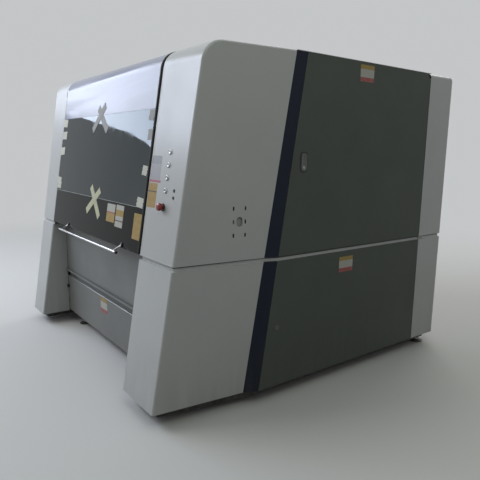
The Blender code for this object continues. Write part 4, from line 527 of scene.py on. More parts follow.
# Rear: extraction spigot and vent screen
# A galvanised spigot passes the lower rear cover, and a black expanded screen lies
# behind the cooling slots.
SCREEN_SIDE_INSET = 0.055
SCREEN_DEPTHS = (0.0085, 0.0055)
SCREEN_HEIGHTS = (0.18, 0.47)
SCREEN_EDGE = 0.0008
galvanised = bare_metal("galvanised_sheet", (0.56, 0.58, 0.59), 0.36, (40.0, 40.0, 40.0), vary=0.25,
                        stain=0.1)
sheet_copy("extraction_duct", "extraction_spigot", galvanised, "machine", "steel")
screen_black, tree, shader = principled("vent_screen", (0.012, 0.012, 0.012), 0.6)
cells = add_node(tree, "TexVoronoi", {"Vector": where(tree), "Scale": 160.0})
feed(shader, Normal=relief(tree, cells.outputs["Distance"], 0.002))
source_low, source_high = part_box("laser_source")
rear_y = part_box("rear_lower_cover")[1].y
foot_z, head_z = (source_low.z + rise for rise in SCREEN_HEIGHTS)
screen = box_shape((source_low.x + SCREEN_SIDE_INSET, rear_y - SCREEN_DEPTHS[0], foot_z),
                   (source_high.x - SCREEN_SIDE_INSET, rear_y - SCREEN_DEPTHS[1], head_z))
mount("vent_screen", soften(screen, SCREEN_EDGE), screen_black, "machine", "black_coat")


# Plinth and cover frame
# Welded square tube: the plinth is coated black, and the frame that carries the covers
# pale grey.
black_coat = coated("black_powder_coat", (0.014, 0.014, 0.014), 0.46, mottle=0.2, dust=0.5)
frame_grey = coated("frame_grey_coat", (0.42, 0.43, 0.42), 0.48, mottle=0.1, dust=0.2)
dress(black_coat, "base_frame")
dress(frame_grey, "cover_frame")


# Waist strip, return flanges and the plate behind the cable hole
# A folded pale strip runs round the machine inside the waist groove. The fairings and
# rear covers turn in above and below it, and a plate backs the right cable hole.
WAIST_HALF = ((0.702, -1.001), (1.0533, -1.001), (1.0605, -0.999), (1.0668, -0.989), (1.1228, -0.489),
              (1.1455, -0.417), (1.148, -0.408), (1.148, 0.852), (1.148, 1.09), (1.1455, 1.102),
              (1.1345, 1.1115), (1.123, 1.115))
WAIST_LEFT_END = -0.806
GROOVE_LOW = 0.787
GROOVE_HIGH = 0.811
STRIP_INSETS = (0.0105, 0.0135)
STRIP_FOOT = 0.0004
STRIP_HEAD_GAP = 0.007
FLANGE_INSETS = (0.0008, 0.013)
FLANGE_INSIDE = 0.0022
FLANGE_PROUD = 0.0003
CABLE_HOLE_Y = -0.64
CABLE_HOLE_Z = 1.01
CABLE_PLATE = (0.064, 0.084, 0.006, 0.002)
CABLE_PLATE_BACK = 0.011
SIDE_SLANT = math.atan2(WAIST_HALF[4][0] - WAIST_HALF[3][0], WAIST_HALF[4][1] - WAIST_HALF[3][1])
waist_line = [Vector((*point, 0)) for point in WAIST_HALF]
waist_line += [Vector((-point.x, point.y, 0)) for point in reversed(waist_line)]
waist_line[-1].x = WAIST_LEFT_END


def groove_band(name, line, insets, low, high):
    """A band along a line in plan, between two insets from it and two heights."""
    shape = bmesh.new()
    rails = []
    for inset in insets:
        rail = []
        for k, point in enumerate(line):
            before = (point - line[max(k - 1, 0)]).normalized()
            after = (line[min(k + 1, len(line) - 1)] - point).normalized()
            run = (before + after).normalized()
            out = Vector((run.y, -run.x, 0))
            leg = before or after
            reach = inset / max(0.5, out.dot(Vector((leg.y, -leg.x, 0))))
            rail.append(shape.verts.new(point - out * reach))
        rails.append(rail)
    flat = [shape.faces.new((rails[0][k], rails[0][k + 1], rails[1][k + 1], rails[1][k]))
            for k in range(len(line) - 1)]
    bmesh.ops.translate(shape, vec=(0, 0, low), verts=shape.verts)
    thicken(shape, flat, (0, 0, high - low))
    mount(name, shape, white_coat, "machine", "white_powder_coat")


groove_band("waist_strip", waist_line, STRIP_INSETS, GROOVE_LOW + STRIP_FOOT, GROOVE_HIGH - STRIP_HEAD_GAP)
for part, line in (("right", waist_line[:5]), ("rear", waist_line[7:17]), ("left", waist_line[-5:])):
    groove_band(f"lower_flange_{part}", line, FLANGE_INSETS, GROOVE_LOW - FLANGE_INSIDE,
                GROOVE_LOW + FLANGE_PROUD)
    groove_band(f"upper_flange_{part}", line, FLANGE_INSETS, GROOVE_HIGH - FLANGE_PROUD,
                GROOVE_HIGH + FLANGE_INSIDE)
plate_x = waist_line[4].x + (CABLE_HOLE_Y - waist_line[4].y) * math.tan(SIDE_SLANT) - CABLE_PLATE_BACK
plate_plane = side_axes(1, plate_x, CABLE_HOLE_Y, CABLE_HOLE_Z) @ Matrix.Rotation(-SIDE_SLANT, 4, "Y")
mount("cable_hole_plate", lay(rounded_plate(*CABLE_PLATE), plate_plane), frame_grey, "machine",
      "grey_powder_coat")


# Levelling feet
# Turned steel pads, coated black. A plated hex nut above each takes the spanner that
# levels the machine.
NUT_RADIUS = 0.017
NUT_HEIGHT = 0.01
NUT_MIDDLE_Z = 0.0185
NUT_EDGE = 0.0012
for corner in ("front_left", "front_right", "rear_left", "rear_right"):
    node = "levelling_foot_" + corner
    sheet_copy(node, node + "_pad", black_coat, "machine", "black_coat")
    low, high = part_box(node)
    centre = (low + high) / 2
    nut = bmesh.new()
    bmesh.ops.create_cone(nut, cap_ends=True, segments=6, radius1=NUT_RADIUS, radius2=NUT_RADIUS,
                          depth=NUT_HEIGHT)
    bmesh.ops.translate(nut, vec=(centre.x, centre.y, NUT_MIDDLE_Z), verts=nut.verts)
    mount(node + "_nut", soften(nut, NUT_EDGE), plated, "machine", "steel")


# Recessed front and slag drawer
# The side doors' dark grey sheet, coloured a step paler as painted light where the light falls on it: a fixed
# upper panel, and the drawer front with a bright metal grip edge that is a painted highlight, and a moulded
# black catch.
GRIP_EDGE_RADIUS = 0.0022
GRIP_EDGE_Z = 0.3735
GRIP_EDGE_INSET = 0.004
DRAWER_HEM = 0.004
CATCH_INSET = 0.02
CATCH_Z = 0.291
# The recess coat is the side doors' grey made paler as painted light, for the light that falls on the front.
painted_lit_recess_grey = coated("recess_grey_coat", (0.25, 0.255, 0.25), 0.4, mottle=0.1)
dress(painted_lit_recess_grey, "front_panel", "slag_drawer")
drawer_low, drawer_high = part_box("slag_drawer")
drawer_face = drawer_low.y + DRAWER_HEM


def rod_shape(points, radius, steps=4):
    """A round rod or bead along a line of points, with closed ends."""
    curve = bpy.data.curves.new("rod", "CURVE")
    curve.dimensions = "3D"
    curve.bevel_depth = radius
    curve.bevel_resolution = steps
    curve.use_fill_caps = True
    line = curve.splines.new("POLY")
    line.points.add(len(points) - 1)
    for point, place in zip(line.points, points):
        point.co = (*place, 1.0)
    item = bpy.data.objects.new("rod", curve)
    bpy.context.scene.collection.objects.link(item)
    bpy.context.view_layer.update()
    mesh = bpy.data.meshes.new_from_object(item.evaluated_get(bpy.context.evaluated_depsgraph_get()))
    shape = bmesh.new()
    shape.from_mesh(mesh)
    bpy.data.objects.remove(item)
    bpy.data.curves.remove(curve)
    bpy.data.meshes.remove(mesh)
    return shape


# The grip edge is a bright bare-metal rod along the drawer's top lip, a painted highlight.
lip_highlight_metal = bare_metal("lip_highlight_metal", (0.52, 0.53, 0.53), 0.35, vary=0.2, stain=0.3)
grip = rod_shape([(drawer_low.x + GRIP_EDGE_INSET, drawer_low.y + GRIP_EDGE_RADIUS, GRIP_EDGE_Z),
                  (drawer_high.x - GRIP_EDGE_INSET, drawer_low.y + GRIP_EDGE_RADIUS, GRIP_EDGE_Z)],
                 GRIP_EDGE_RADIUS)
mount("drawer_grip_edge", grip, lip_highlight_metal, "drawer", "steel")
moulded_black, tree, shader = principled("moulded_black", (0.012, 0.012, 0.013), 0.38)
feed(shader, Normal=relief(tree, clouds(tree, where(tree), 900.0), 0.0001, 0.5))
catch = turned([(0, 0.017), (0.009, 0.017), (0.0125, 0.014), (0.0125, 0.007), (0.008, 0.005),
                (0.008, -0.001), (0, -0.001)], (drawer_low.x + CATCH_INSET, drawer_face, CATCH_Z),
               (0, -1, 0), 24)
mount("drawer_catch", catch, moulded_black, "drawer", "black_coat")


# Front door: white crown, window, gloss panel and frame
# One curved shell of gloss-coated sheet in its delivery film, over a black tube frame, its white coloured
# blue-lilac with darker streaks as painted reflection. The tinted acrylic window and the gloss black lower
# panel lie in the same leaning plane.
LEAN = math.radians(9.0)
LEAN_OUT = Vector((0, -math.cos(LEAN), math.sin(LEAN)))
FRONT_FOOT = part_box("lower_fairing_right")[0]
WINDOW_EDGE_RADIUS = 0.0014
WINDOW_EDGE_RISE = 0.0016
WINDOW_EDGE_INSET = 0.008


def on_front(x, z, out=0.0):
    """A point on the leaning front, moved out along its normal."""
    return Vector((x, FRONT_FOOT.y + math.tan(LEAN) * (z - FRONT_FOOT.z), z)) + LEAN_OUT * out


# The film-covered white is coloured blue-lilac as a painted reflection of the window and sky.
film_shell_painted_reflection, tree, shader = principled("film_white_painted_reflection", (0.5, 0.53, 0.62), 0.16, Specular_IOR_Level=0.28)
stretched = add_node(tree, "Mapping", {"Vector": where(tree), "Rotation": (0.0, 0.12, 0.0),
                                       "Scale": (0.9, 3.0, 9.0)}).outputs[0]
folds_and_streak_reflection = clouds(tree, stretched, 1.0, 3.0, Distortion=0.8)
# Along the film's folds the colour goes darker blue in streaks, a painted reflection; the folds also set
# roughness and bumps.
feed(shader, Base_Color=blended(tree, folds_and_streak_reflection, (0.3, 0.33, 0.48, 1.0), (0.52, 0.54, 0.62, 1.0)),
     Roughness=spread(tree, folds_and_streak_reflection, 0.35, 0.65, 0.1, 0.26), Normal=relief(tree, folds_and_streak_reflection, 0.003, 0.5))
sheet_copy("door_top_shell", "door_crown_shell", film_shell_painted_reflection, "front_door", "white_powder_coat")

tinted, tree, shader = principled("tinted_acrylic", (0.004, 0.011, 0.016), 0.03, IOR=1.46,
                                  Transmission_Weight=0.45, Specular_Tint=(0.7, 0.94, 1.0, 1.0))
place = where(tree)
wavy = relief(tree, clouds(tree, place, 2.2), 0.004, 0.35)
pulled = maths(tree, "POWER", spread(tree, along(tree, place, "X"), 0.2, 0.7), 3.2)
twist = maths(tree, "MULTIPLY", pulled, maths(tree, "SUBTRACT", along(tree, place, "Z"), 1.4))
feed(shader, Normal=relief(tree, twist, -0.032, Normal=wavy),
     Roughness=spread(tree, clouds(tree, place, 14.0, 6.0), 0.45, 0.75, 0.025, 0.1))
dress(tinted, "door_window")
low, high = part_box("door_window")
sawn_edge = coated("sawn_acrylic_edge", (0.42, 0.46, 0.46), 0.45, mottle=0.3, dust=0.0)
edge_line = [on_front(x, low.z + WINDOW_EDGE_RISE)
             for x in (low.x + WINDOW_EDGE_INSET, high.x - WINDOW_EDGE_INSET)]
mount("window_edge", rod_shape(edge_line, WINDOW_EDGE_RADIUS, 2), sawn_edge, "front_door", "tinted_window")
gloss_black = coated("gloss_black_panel", (0.006, 0.006, 0.006), 0.08, mottle=0.0, dust=0.05, depth=0.00003,
                     Specular_IOR_Level=0.12)
dress(gloss_black, "door_lower_panel")
dress(black_coat, "door_frame")


# Door seals
# Rubber edge trims down both sides of the door, round the crown and along the roof:
# black on the right, where it stands proud, and flush on the left, where it is coloured in the white coat as
# painted light.
SEAL_RADIUS = 0.0065
SEAL_PROUD = 0.002
SEAL_GAP = 0.0004
SEAL_END_INSET = 0.004
SEAL_FOOT_Z = 0.8125
CROWN_RADIUS = 0.11
CROWN_STEPS = 16
ROOF_Z = cad_box[1].z
rubber, tree, shader = principled("seal_rubber", (0.009, 0.009, 0.01), 0.55)
feed(shader, Roughness=spread(tree, clouds(tree, where(tree), 260.0, 3.0), to_low=0.42, to_high=0.68))
shell_low, shell_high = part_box("door_top_shell")


def crown_path(x, proud):
    """Points up the front, proud of its skin, round the crown and back inside the roof's edge."""
    roof_proud = -SEAL_RADIUS - SEAL_GAP
    centre_z = ROOF_Z - CROWN_RADIUS
    centre_y = on_front(0, centre_z).y + CROWN_RADIUS / math.cos(LEAN)
    points = [on_front(x, SEAL_FOOT_Z, proud)]
    for k in range(CROWN_STEPS + 1):
        angle = math.pi - LEAN + (LEAN - math.pi / 2) * k / CROWN_STEPS
        reach = CROWN_RADIUS + proud + (roof_proud - proud) * k / CROWN_STEPS
        points.append(Vector((x, centre_y + reach * math.cos(angle), centre_z + reach * math.sin(angle))))
    return [*points, Vector((x, shell_high.y - SEAL_END_INSET, ROOF_Z + roof_proud))]


# The left trim takes the white coat, not rubber, as painted light where the lit pillar wall shows in the gap.
for hand, x, proud, finish, slot in (
        ("right", shell_high.x + SEAL_GAP, SEAL_PROUD, rubber, "black_coat"),
        ("left", shell_low.x - SEAL_GAP, -SEAL_RADIUS, white_coat, "white_powder_coat")):
    mount(f"door_seal_{hand}", rod_shape(crown_path(x, proud), SEAL_RADIUS, 3), finish, "front_door", slot)


# Door handle and gas struts
# A polished steel bar on two bent arms with moulded caps and feet, and two gas struts
# with polished rods in black tubes.
HANDLE_BAR_Y = -1.052
HANDLE_BAR_Z = 0.797
HANDLE_FOOT_Z = 0.8255
polished = bare_metal("polished_steel", (0.74, 0.74, 0.75), 0.1, vary=0.06, stain=0.04)
sheet_copy("door_handle", "door_handle_bar", polished, "front_door", "polished_steel")
for hand, end_x, arm_x in (("left", -0.506, -0.456), ("right", 0.519, 0.469)):
    cap = turned([(0, 0.0012), (0.007, 0.0008), (0.0082, 0.0), (0.0082, -0.012), (0.0066, -0.012),
                  (0.0066, -0.0004), (0, -0.0004)], (end_x, HANDLE_BAR_Y, HANDLE_BAR_Z),
                 (math.copysign(1, end_x), 0, 0), 24)
    foot = turned([(0.0048, 0.0076), (0.0105, 0.007), (0.014, 0.005), (0.014, 0.0002), (0.0125, 0.0002),
                   (0.0125, 0.0046), (0.0048, 0.0046), (0.0048, 0.0076)], on_front(arm_x, HANDLE_FOOT_Z),
                  LEAN_OUT, 28)
    mount(f"handle_cap_{hand}", cap, moulded_black, "front_door", "black_coat")
    mount(f"handle_foot_{hand}", foot, moulded_black, "front_door", "black_coat")
for hand in ("left", "right"):
    strut = f"strut_{hand}_"
    sheet_copy(strut + "tube", strut + "cylinder", black_coat, strut + "tube_body", "black_coat")
    sheet_copy(strut + "rod", strut + "piston", polished, strut + "rod_body", "polished_steel")


# Masking tape on the door
# Strips of crepe tape from the delivery: two crosses, and short patches down both edges
# of the window. Their torn ends curl a little.
TAPE_WIDTH = 0.046
TAPE_THICK = 0.0003
TAPE_OUT = 0.0002
TAPE_OVER = 0.0012
PATCH_START_SHIFT = 0.012
PATCH_END_SHIFT = 0.01
PATCH_SLOPE = 0.006
TEAR = 0.0022
TEAR_ZONE = 0.001
TEAR_WAVES = (410, 1130)
CURL = 0.00035
CURL_WAVES = (95, 70)


def crepe_tape(name, colour, faded):
    """Crepe paper tape whose colour fades in clouds."""
    material, tree, shader = principled(name, colour, 0.7)
    place = where(tree)
    feed(shader, Base_Color=blended(tree, clouds(tree, place, 26.0, 3.0), (*colour, 1.0), (*faded, 1.0)),
         Normal=relief(tree, clouds(tree, place, 420.0, 3.0), 0.0006, 0.6))
    return material


cream_tape = crepe_tape("masking_tape", (0.72, 0.72, 0.52), (0.58, 0.58, 0.38))
grey_tape = crepe_tape("thin_tape", (0.52, 0.52, 0.52), (0.38, 0.38, 0.36))
white_tape = crepe_tape("edge_tape", (0.78, 0.78, 0.7), (0.64, 0.64, 0.54))


def front_matrix(x, z, out, turn=0.0):
    """Places a shape drawn flat in X and Y on the leaning front, turned in its plane."""
    axes = Matrix(((1, 0, 0), (0, math.sin(LEAN), math.cos(LEAN)), LEAN_OUT)).transposed().to_4x4()
    return Matrix.Translation(on_front(x, z, out)) @ axes @ Matrix.Rotation(turn, 4, "Z")


def tape_strip(start, end, width, out, seed):
    """A thin strip on the leaning front from start to end, with torn ends."""
    run = Vector(end) - Vector(start)
    middle = (Vector(start) + Vector(end)) / 2
    strip = bmesh.new()
    bmesh.ops.create_grid(strip, x_segments=18, y_segments=6, size=0.5)
    bmesh.ops.scale(strip, vec=(run.length, width, 1), verts=strip.verts)
    for vert in strip.verts:
        if abs(vert.co.x) > run.length / 2 - TEAR_ZONE:
            fine = math.sin(vert.co.y * TEAR_WAVES[1] + seed)
            tear = math.sin(vert.co.y * TEAR_WAVES[0] + seed * 2.7) + 0.6 * fine
            vert.co.x += math.copysign(TEAR, vert.co.x) * tear
        wave = math.sin(vert.co.x * CURL_WAVES[0] + seed) * math.cos(vert.co.y * CURL_WAVES[1] + seed * 1.3)
        vert.co.z += CURL * (1 + wave)
    thicken(strip, strip.faces, (0, 0, TAPE_THICK))
    turn = math.atan2(run.y, run.x)
    return lay(strip, front_matrix(middle.x, middle.y, out, turn))


CROSSES = (
    ("upper_cross", grey_tape, ((-0.126, 1.622), (0.055, 1.472)), ((-0.012, 1.634), (-0.186, 1.477))),
    ("lower_cross", cream_tape, ((-0.098, 1.122), (0.083, 0.938)), ((0.063, 1.108), (-0.135, 0.956))),
)
PATCHES = (
    ("left_patches", white_tape, -0.812, -0.708, (1.548, 1.456, 1.338), 0.056),
    ("left_foot_patch", white_tape, -0.812, -0.716, (1.128, 1.092), 0.05),
    ("right_upper_patches", grey_tape, 0.618, 0.684, (1.545, 1.44), 0.058),
    ("right_middle_patch", white_tape, 0.616, 0.684, (1.254,), 0.052),
    ("right_lower_patch", white_tape, 0.596, 0.684, (1.083,), 0.054),
)
for k, (name, tape, first, second) in enumerate(CROSSES):
    strips = [tape_strip(*first, TAPE_WIDTH, TAPE_OUT, 3 * k),
              tape_strip(*second, TAPE_WIDTH, TAPE_OVER, 3 * k + 1)]
    mount("tape_" + name, strips, tape, "front_door", "white_powder_coat")
for name, tape, start_x, end_x, heights, width in PATCHES:
    strips = [tape_strip((start_x + PATCH_START_SHIFT * (k % 2), z),
                         (end_x - PATCH_END_SHIFT * ((k + 1) % 2), z + PATCH_SLOPE * (k % 3 - 1)),
                         width, TAPE_OUT, 11 + k) for k, z in enumerate(heights)]
    mount("tape_" + name, strips, tape, "front_door", "white_powder_coat")


# Blank labels
# Printed film labels without any words or signs: plain fields of colour on the gloss
# panel, the right fairing's inner edge, the drawer and the side doors.
LABEL_THICK = 0.0004
LABEL_ROUND = 0.004
LABEL_OUT = 0.0001
OCHRE = (0.42, 0.27, 0.025)
PALE = (0.56, 0.55, 0.5)
BRICK = (0.4, 0.055, 0.045)
LILAC = (0.48, 0.47, 0.52)
AMBER = (0.47, 0.29, 0.05)
SLATE = (0.33, 0.34, 0.38)
ROSE = (0.52, 0.13, 0.19)
DARK = (0.05, 0.035, 0.02)
SIGN_FIELDS = ((0.26, BRICK), (0.48, PALE), (0.26, OCHRE))


def label_film(name, low_z, high_z, fields):
    """A film whose colour changes in fields up its height; fields are (share, colour) from the foot."""
    material, tree, shader = principled(name, fields[0][1], 0.32)
    place = where(tree)
    ramp = add_node(tree, "ValToRGB", {0: spread(tree, along(tree, place, "Z"), low_z, high_z)})
    ramp.color_ramp.interpolation = "CONSTANT"
    stops = ramp.color_ramp.elements
    stops.remove(stops[1])
    stops[0].position = 0.0
    stops[0].color = (*fields[0][1], 1.0)
    reach = fields[0][0]
    for part, colour in fields[1:]:
        stops.new(reach).color = (*colour, 1.0)
        reach += part
    fade = spread(tree, clouds(tree, place, 60.0, 4.0), 0.4, 0.8, 0.0, 0.3)
    feed(shader, Base_Color=blended(tree, fade, ramp.outputs["Color"], (*PALE, 1.0)))
    return material


recess_axes = Matrix(((1, 0, 0), (0, 0, 1), (0, -1, 0))).transposed().to_4x4()
door_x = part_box("upper_door_right")[1].x + LABEL_OUT
for name, matrix, width, height, fields, body in (
        ("panel_label_left", front_matrix(0.263, 0.986, LABEL_OUT), 0.12, 0.108,
         ((0.5, AMBER), (0.06, BRICK), (0.44, PALE)), "front_door"),
        ("panel_label_middle", front_matrix(0.39, 0.979, LABEL_OUT), 0.106, 0.128,
         ((0.26, PALE), (0.05, DARK), (0.19, PALE), (0.28, OCHRE), (0.22, PALE)), "front_door"),
        ("panel_label_right", front_matrix(0.634, 0.95, LABEL_OUT), 0.1, 0.142,
         ((0.62, AMBER), (0.38, OCHRE)), "front_door"),
        ("fairing_label_upper", front_matrix(0.768, 1.271, LABEL_OUT), 0.104, 0.122,
         ((0.66, LILAC), (0.34, SLATE)), "machine"),
        ("fairing_label_line", front_matrix(0.775, 1.203, LABEL_OUT), 0.12, 0.012, ((1.0, ROSE),), "machine"),
        ("fairing_label_lower", front_matrix(0.761, 1.13, LABEL_OUT), 0.092, 0.126,
         ((0.63, AMBER), (0.05, DARK), (0.32, AMBER)), "machine"),
        ("drawer_label", Matrix.Translation((-0.061, drawer_face - LABEL_OUT, 0.312)) @ recess_axes,
         0.112, 0.1, SIGN_FIELDS, "drawer"),
        ("upper_door_label", side_axes(1, door_x, 0.2235, 1.806), 0.118, 0.092, SIGN_FIELDS,
         "upper_door_right_body"),
        ("lower_door_label", side_axes(1, door_x, 0.125, 0.708), 0.118, 0.092, SIGN_FIELDS,
         "lower_door_right_body")):
    film = lay(rounded_plate(width, height, LABEL_ROUND, LABEL_THICK, 4), matrix)
    heights = [vert.co.z for vert in film.verts]
    mount(name, film, label_film(name + "_film", min(heights), max(heights), fields), body,
          "white_powder_coat")


# Operating buttons
# Four steel pushbuttons with turned rims in the fairing, a red mushroom head for the
# emergency stop in its dark collar, and the two pinholes beside them.
BUTTON_X = 0.9
BUTTON_HEIGHTS = (1.351, 1.288, 1.225, 1.162)
STOP_CENTRE = (0.895, 1.08)
PINHOLE_X = 0.983
PINHOLE_HEIGHTS = (1.133, 1.167)
button_steel = bare_metal("button_steel", (0.38, 0.39, 0.4), 0.18, vary=0.08, stain=0.05)
for k, z in enumerate(BUTTON_HEIGHTS):
    rim = turned([(0.01, 0.0), (0.01, 0.005), (0.0108, 0.006), (0.0122, 0.0056), (0.0138, 0.0024),
                  (0.0142, 0.0), (0.01, 0.0)], on_front(BUTTON_X, z), LEAN_OUT, 40)
    mount(f"button_rim_{k + 1}", rim, button_steel, "machine", "steel")
    cap = turned([(0, 0.0046), (0.005, 0.005), (0.008, 0.0064), (0.009, 0.0062), (0.0094, 0.005),
                  (0.0094, -0.03), (0, -0.03)], on_front(BUTTON_X, z), LEAN_OUT, 40)
    mount(f"button_cap_{k + 1}", cap, button_steel, f"push_button_{k + 1}_body", "steel",
          f"push_button_{k + 1}")
stop_place = on_front(*STOP_CENTRE)
stop_red, tree, shader = principled("stop_red", (0.32, 0.01, 0.008), 0.26, Coat_Weight=0.4,
                                    Coat_Roughness=0.12)
feed(shader, Base_Color=blended(tree, clouds(tree, where(tree), 90.0, 4.0), (0.35, 0.011, 0.008, 1.0),
                                (0.24, 0.009, 0.009, 1.0)))
stop_cap = turned([(0, 0.034), (0.008, 0.0337), (0.014, 0.0328), (0.018, 0.0306), (0.0198, 0.0272),
                   (0.02, 0.019), (0.0192, 0.0165), (0.0172, 0.015), (0.0145, 0.0142), (0.014, 0.009),
                   (0.0095, 0.0088), (0.0095, -0.042), (0, -0.042)], stop_place, LEAN_OUT, 48)
mount("stop_mushroom", stop_cap, stop_red, "emergency_stop_body", "red_plastic", "emergency_stop")
stop_collar = turned([(0.015, 0.0), (0.015, 0.0062), (0.0172, 0.0064), (0.0186, 0.005), (0.0196, 0.0016),
                      (0.0198, 0.0), (0.015, 0.0)], stop_place, LEAN_OUT, 40)
mount("stop_collar", stop_collar, moulded_black, "machine", "black_coat")
for k, z in enumerate(PINHOLE_HEIGHTS):
    eyelet = turned([(0.0058, -0.0028), (0.0058, 0.001), (0.0078, 0.0014), (0.0092, 0.0008), (0.0094, 0.0),
                     (0.0062, 0.0), (0.0062, -0.0028), (0.0058, -0.0028)], on_front(PINHOLE_X, z),
                    LEAN_OUT, 28)
    mount(f"pinhole_eyelet_{k + 1}", eyelet, moulded_black, "machine", "black_coat")


# Machine bed and slat table
# The welded bed wears a blue-grey machine paint. The table's slats are plain steel,
# zinc grey at the foot and burnt brown, blue and black along their points.
BURN_START_Z = 0.884
BURN_END_Z = 0.93
BURN_RAGGED = 0.06
dress(coated("bed_paint", (0.2, 0.25, 0.28), 0.5, mottle=0.25, dust=0.45), "bed_frame")
burnt_slats, tree, shader = principled("burnt_slats", (0.3, 0.29, 0.28), 0.48, 1.0)
place = where(tree)
patches = clouds(tree, place, 22.0, 5.0, Roughness=0.65)
ragged = maths(tree, "MULTIPLY_ADD", patches, BURN_RAGGED, along(tree, place, "Z"))
burn = spread(tree, ragged, BURN_START_Z, BURN_END_Z)
ramp = add_node(tree, "ValToRGB", {0: burn})
stops = ramp.color_ramp.elements
stops[0].color = (0.46, 0.46, 0.45, 1.0)
stops[1].color = (0.09, 0.078, 0.066, 1.0)
for share, tone in ((0.4, (0.33, 0.26, 0.17, 1.0)), (0.7, (0.17, 0.17, 0.19, 1.0))):
    stops.new(share).color = tone
feed(shader, Base_Color=ramp.outputs["Color"], Roughness=spread(tree, burn, to_low=0.42, to_high=0.75),
     Normal=relief(tree, patches, 0.0015, 0.5))
dress(burnt_slats, "slat_table")


# Guide rails, racks and pinions
# Ground steel rails with countersunk screws along their crowns, and hardened racks
# whose fine teeth are cut in the surface alone, their gaps coloured dark as painted shade.
RAIL_SCREW_PITCH = 0.08
RAIL_SCREW_START = 0.03
RAIL_SCREW_RADIUS = 0.0052
TOOTH_WAVE = 66.7
ground_steel = bare_metal("ground_steel", (0.6, 0.61, 0.62), 0.16, (500.0, 6.0, 500.0))
screw_black = coated("black_oxide", (0.02, 0.02, 0.021), 0.42, mottle=0.1, dust=0.0)
toothed_steel, tree, shader = principled("toothed_steel", (0.4, 0.4, 0.39), 0.3, 1.0)
tooth_bumps_and_gap_shade = add_node(tree, "TexWave", {"Vector": where(tree), "Scale": TOOTH_WAVE},
                 wave_type="BANDS", bands_direction="Y", wave_profile="TRI").outputs["Fac"]
# The colour goes dark in the gaps between teeth as painted shade; the same wave sets the bumps.
feed(shader, Base_Color=blended(tree, tooth_bumps_and_gap_shade, (0.07, 0.07, 0.07, 1.0), (0.5, 0.5, 0.49, 1.0)),
     Normal=relief(tree, tooth_bumps_and_gap_shade, 0.002, 0.8))
for hand in ("right", "left"):
    dress(ground_steel, f"guide_rail_{hand}")
    dress(toothed_steel, f"rack_{hand}", f"pinion_{hand}")
    low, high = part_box(f"guide_rail_{hand}")
    screws = [turned([(0, -0.0004), (0.0024, -0.0004), (0.0028, 0.0004), (RAIL_SCREW_RADIUS, 0.0006),
                      (RAIL_SCREW_RADIUS, -0.001), (0, -0.001)],
                     ((low.x + high.x) / 2, low.y + RAIL_SCREW_START + k * RAIL_SCREW_PITCH, high.z),
                     (0, 0, 1), 14) for k in range(int((high.y - low.y) / RAIL_SCREW_PITCH))]
    mount(f"rail_screws_{hand}", screws, screw_black, "machine", "black_coat")


# Gantry, carriage and cutting head
# A welded beam in satin grey carries black drives with capped plugs and an anodised
# carriage, and the pale head has a fibre plug, a cover-glass tray and a copper nozzle.
CAP_SCREW_RADIUS = 0.005
CAP_SCREW_HEAD = 0.0034
CAP_SCREW_EDGE = 0.0005
CARRIAGE_SCREW_INSET = 0.013
CARRIAGE_SCREW_RISE = 0.014
SLIDE_SCREW_INSET = 0.0075
SLIDE_SCREW_RISE = 0.015
SLIDE_SCREW_PITCH = 0.065
MOTOR_CAP_INSET = 0.004
MOTOR_CAP_HIGH = 0.011
MOTOR_CAP_EDGE = 0.002
MOTOR_CAP_SUNK = 0.0004
PLUG_BACK = 0.014
PLUG_SUNK = 0.0005
GLASS_TRAY_HALF = 0.021
GLASS_TRAY_HEIGHTS = (1.014, 1.032)
GLASS_TRAY_PROUD = 0.009
GLASS_TRAY_INSIDE = 0.012
GLASS_TRAY_EDGE = 0.0015
TRAY_KNOB_SIDE = 0.012
FITTING_HEIGHTS = (1.18, 1.205)
motor_black = coated("motor_black", (0.02, 0.02, 0.022), 0.45, mottle=0.15, dust=0.1)
anodised = bare_metal("anodised_plate", (0.5, 0.51, 0.52), 0.34, (8.0, 400.0, 400.0), vary=0.1)
copper_metal = bare_metal("copper_nozzle", (0.72, 0.36, 0.2), 0.24, vary=0.1, stain=0.35)
dress(coated("beam_coat", (0.4, 0.42, 0.43), 0.38, mottle=0.08, dust=0.1), "gantry_beam")
dress(anodised, "carriage", "head_slide")
dress(coated("head_coat", (0.42, 0.43, 0.44), 0.3, dust=0.05), "cutting_head")
sheet_copy("nozzle", "nozzle_turned", copper_metal, "head", "copper")
for hand in ("right", "left"):
    dress(motor_black, f"gantry_motor_{hand}")
    low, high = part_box(f"gantry_motor_{hand}")
    centre = (low + high) / 2
    cap = box_shape((low.x + MOTOR_CAP_INSET, low.y + MOTOR_CAP_INSET, high.z - MOTOR_CAP_SUNK),
                    (high.x - MOTOR_CAP_INSET, high.y - MOTOR_CAP_INSET, high.z + MOTOR_CAP_HIGH))
    plug = turned([(0, 0.024), (0.007, 0.024), (0.0086, 0.022), (0.0086, 0.012), (0.0105, 0.01),
                   (0.0105, 0.0), (0, 0.0)],
                  (centre.x, centre.y + PLUG_BACK, high.z + MOTOR_CAP_HIGH - PLUG_SUNK), (0, 0, 1), 20)
    mount(f"motor_cap_{hand}", [soften(cap, MOTOR_CAP_EDGE), plug], screw_black, "gantry", "black_motor")


def cap_screws(name, node, side_inset, heights, body):
    """Socket cap screws in two columns on a plate's front."""
    low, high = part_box(node)
    screws = [turned([(0, 0.0012), (0.0023, 0.0012), (0.0025, CAP_SCREW_HEAD),
                      (CAP_SCREW_RADIUS - CAP_SCREW_EDGE, CAP_SCREW_HEAD),
                      (CAP_SCREW_RADIUS, CAP_SCREW_HEAD - CAP_SCREW_EDGE), (CAP_SCREW_RADIUS, -0.001),
                      (0, -0.001)], (x, low.y, z), (0, -1, 0), 18)
              for x in (low.x + side_inset, high.x - side_inset) for z in heights]
    mount(name, screws, screw_black, body, "black_coat")


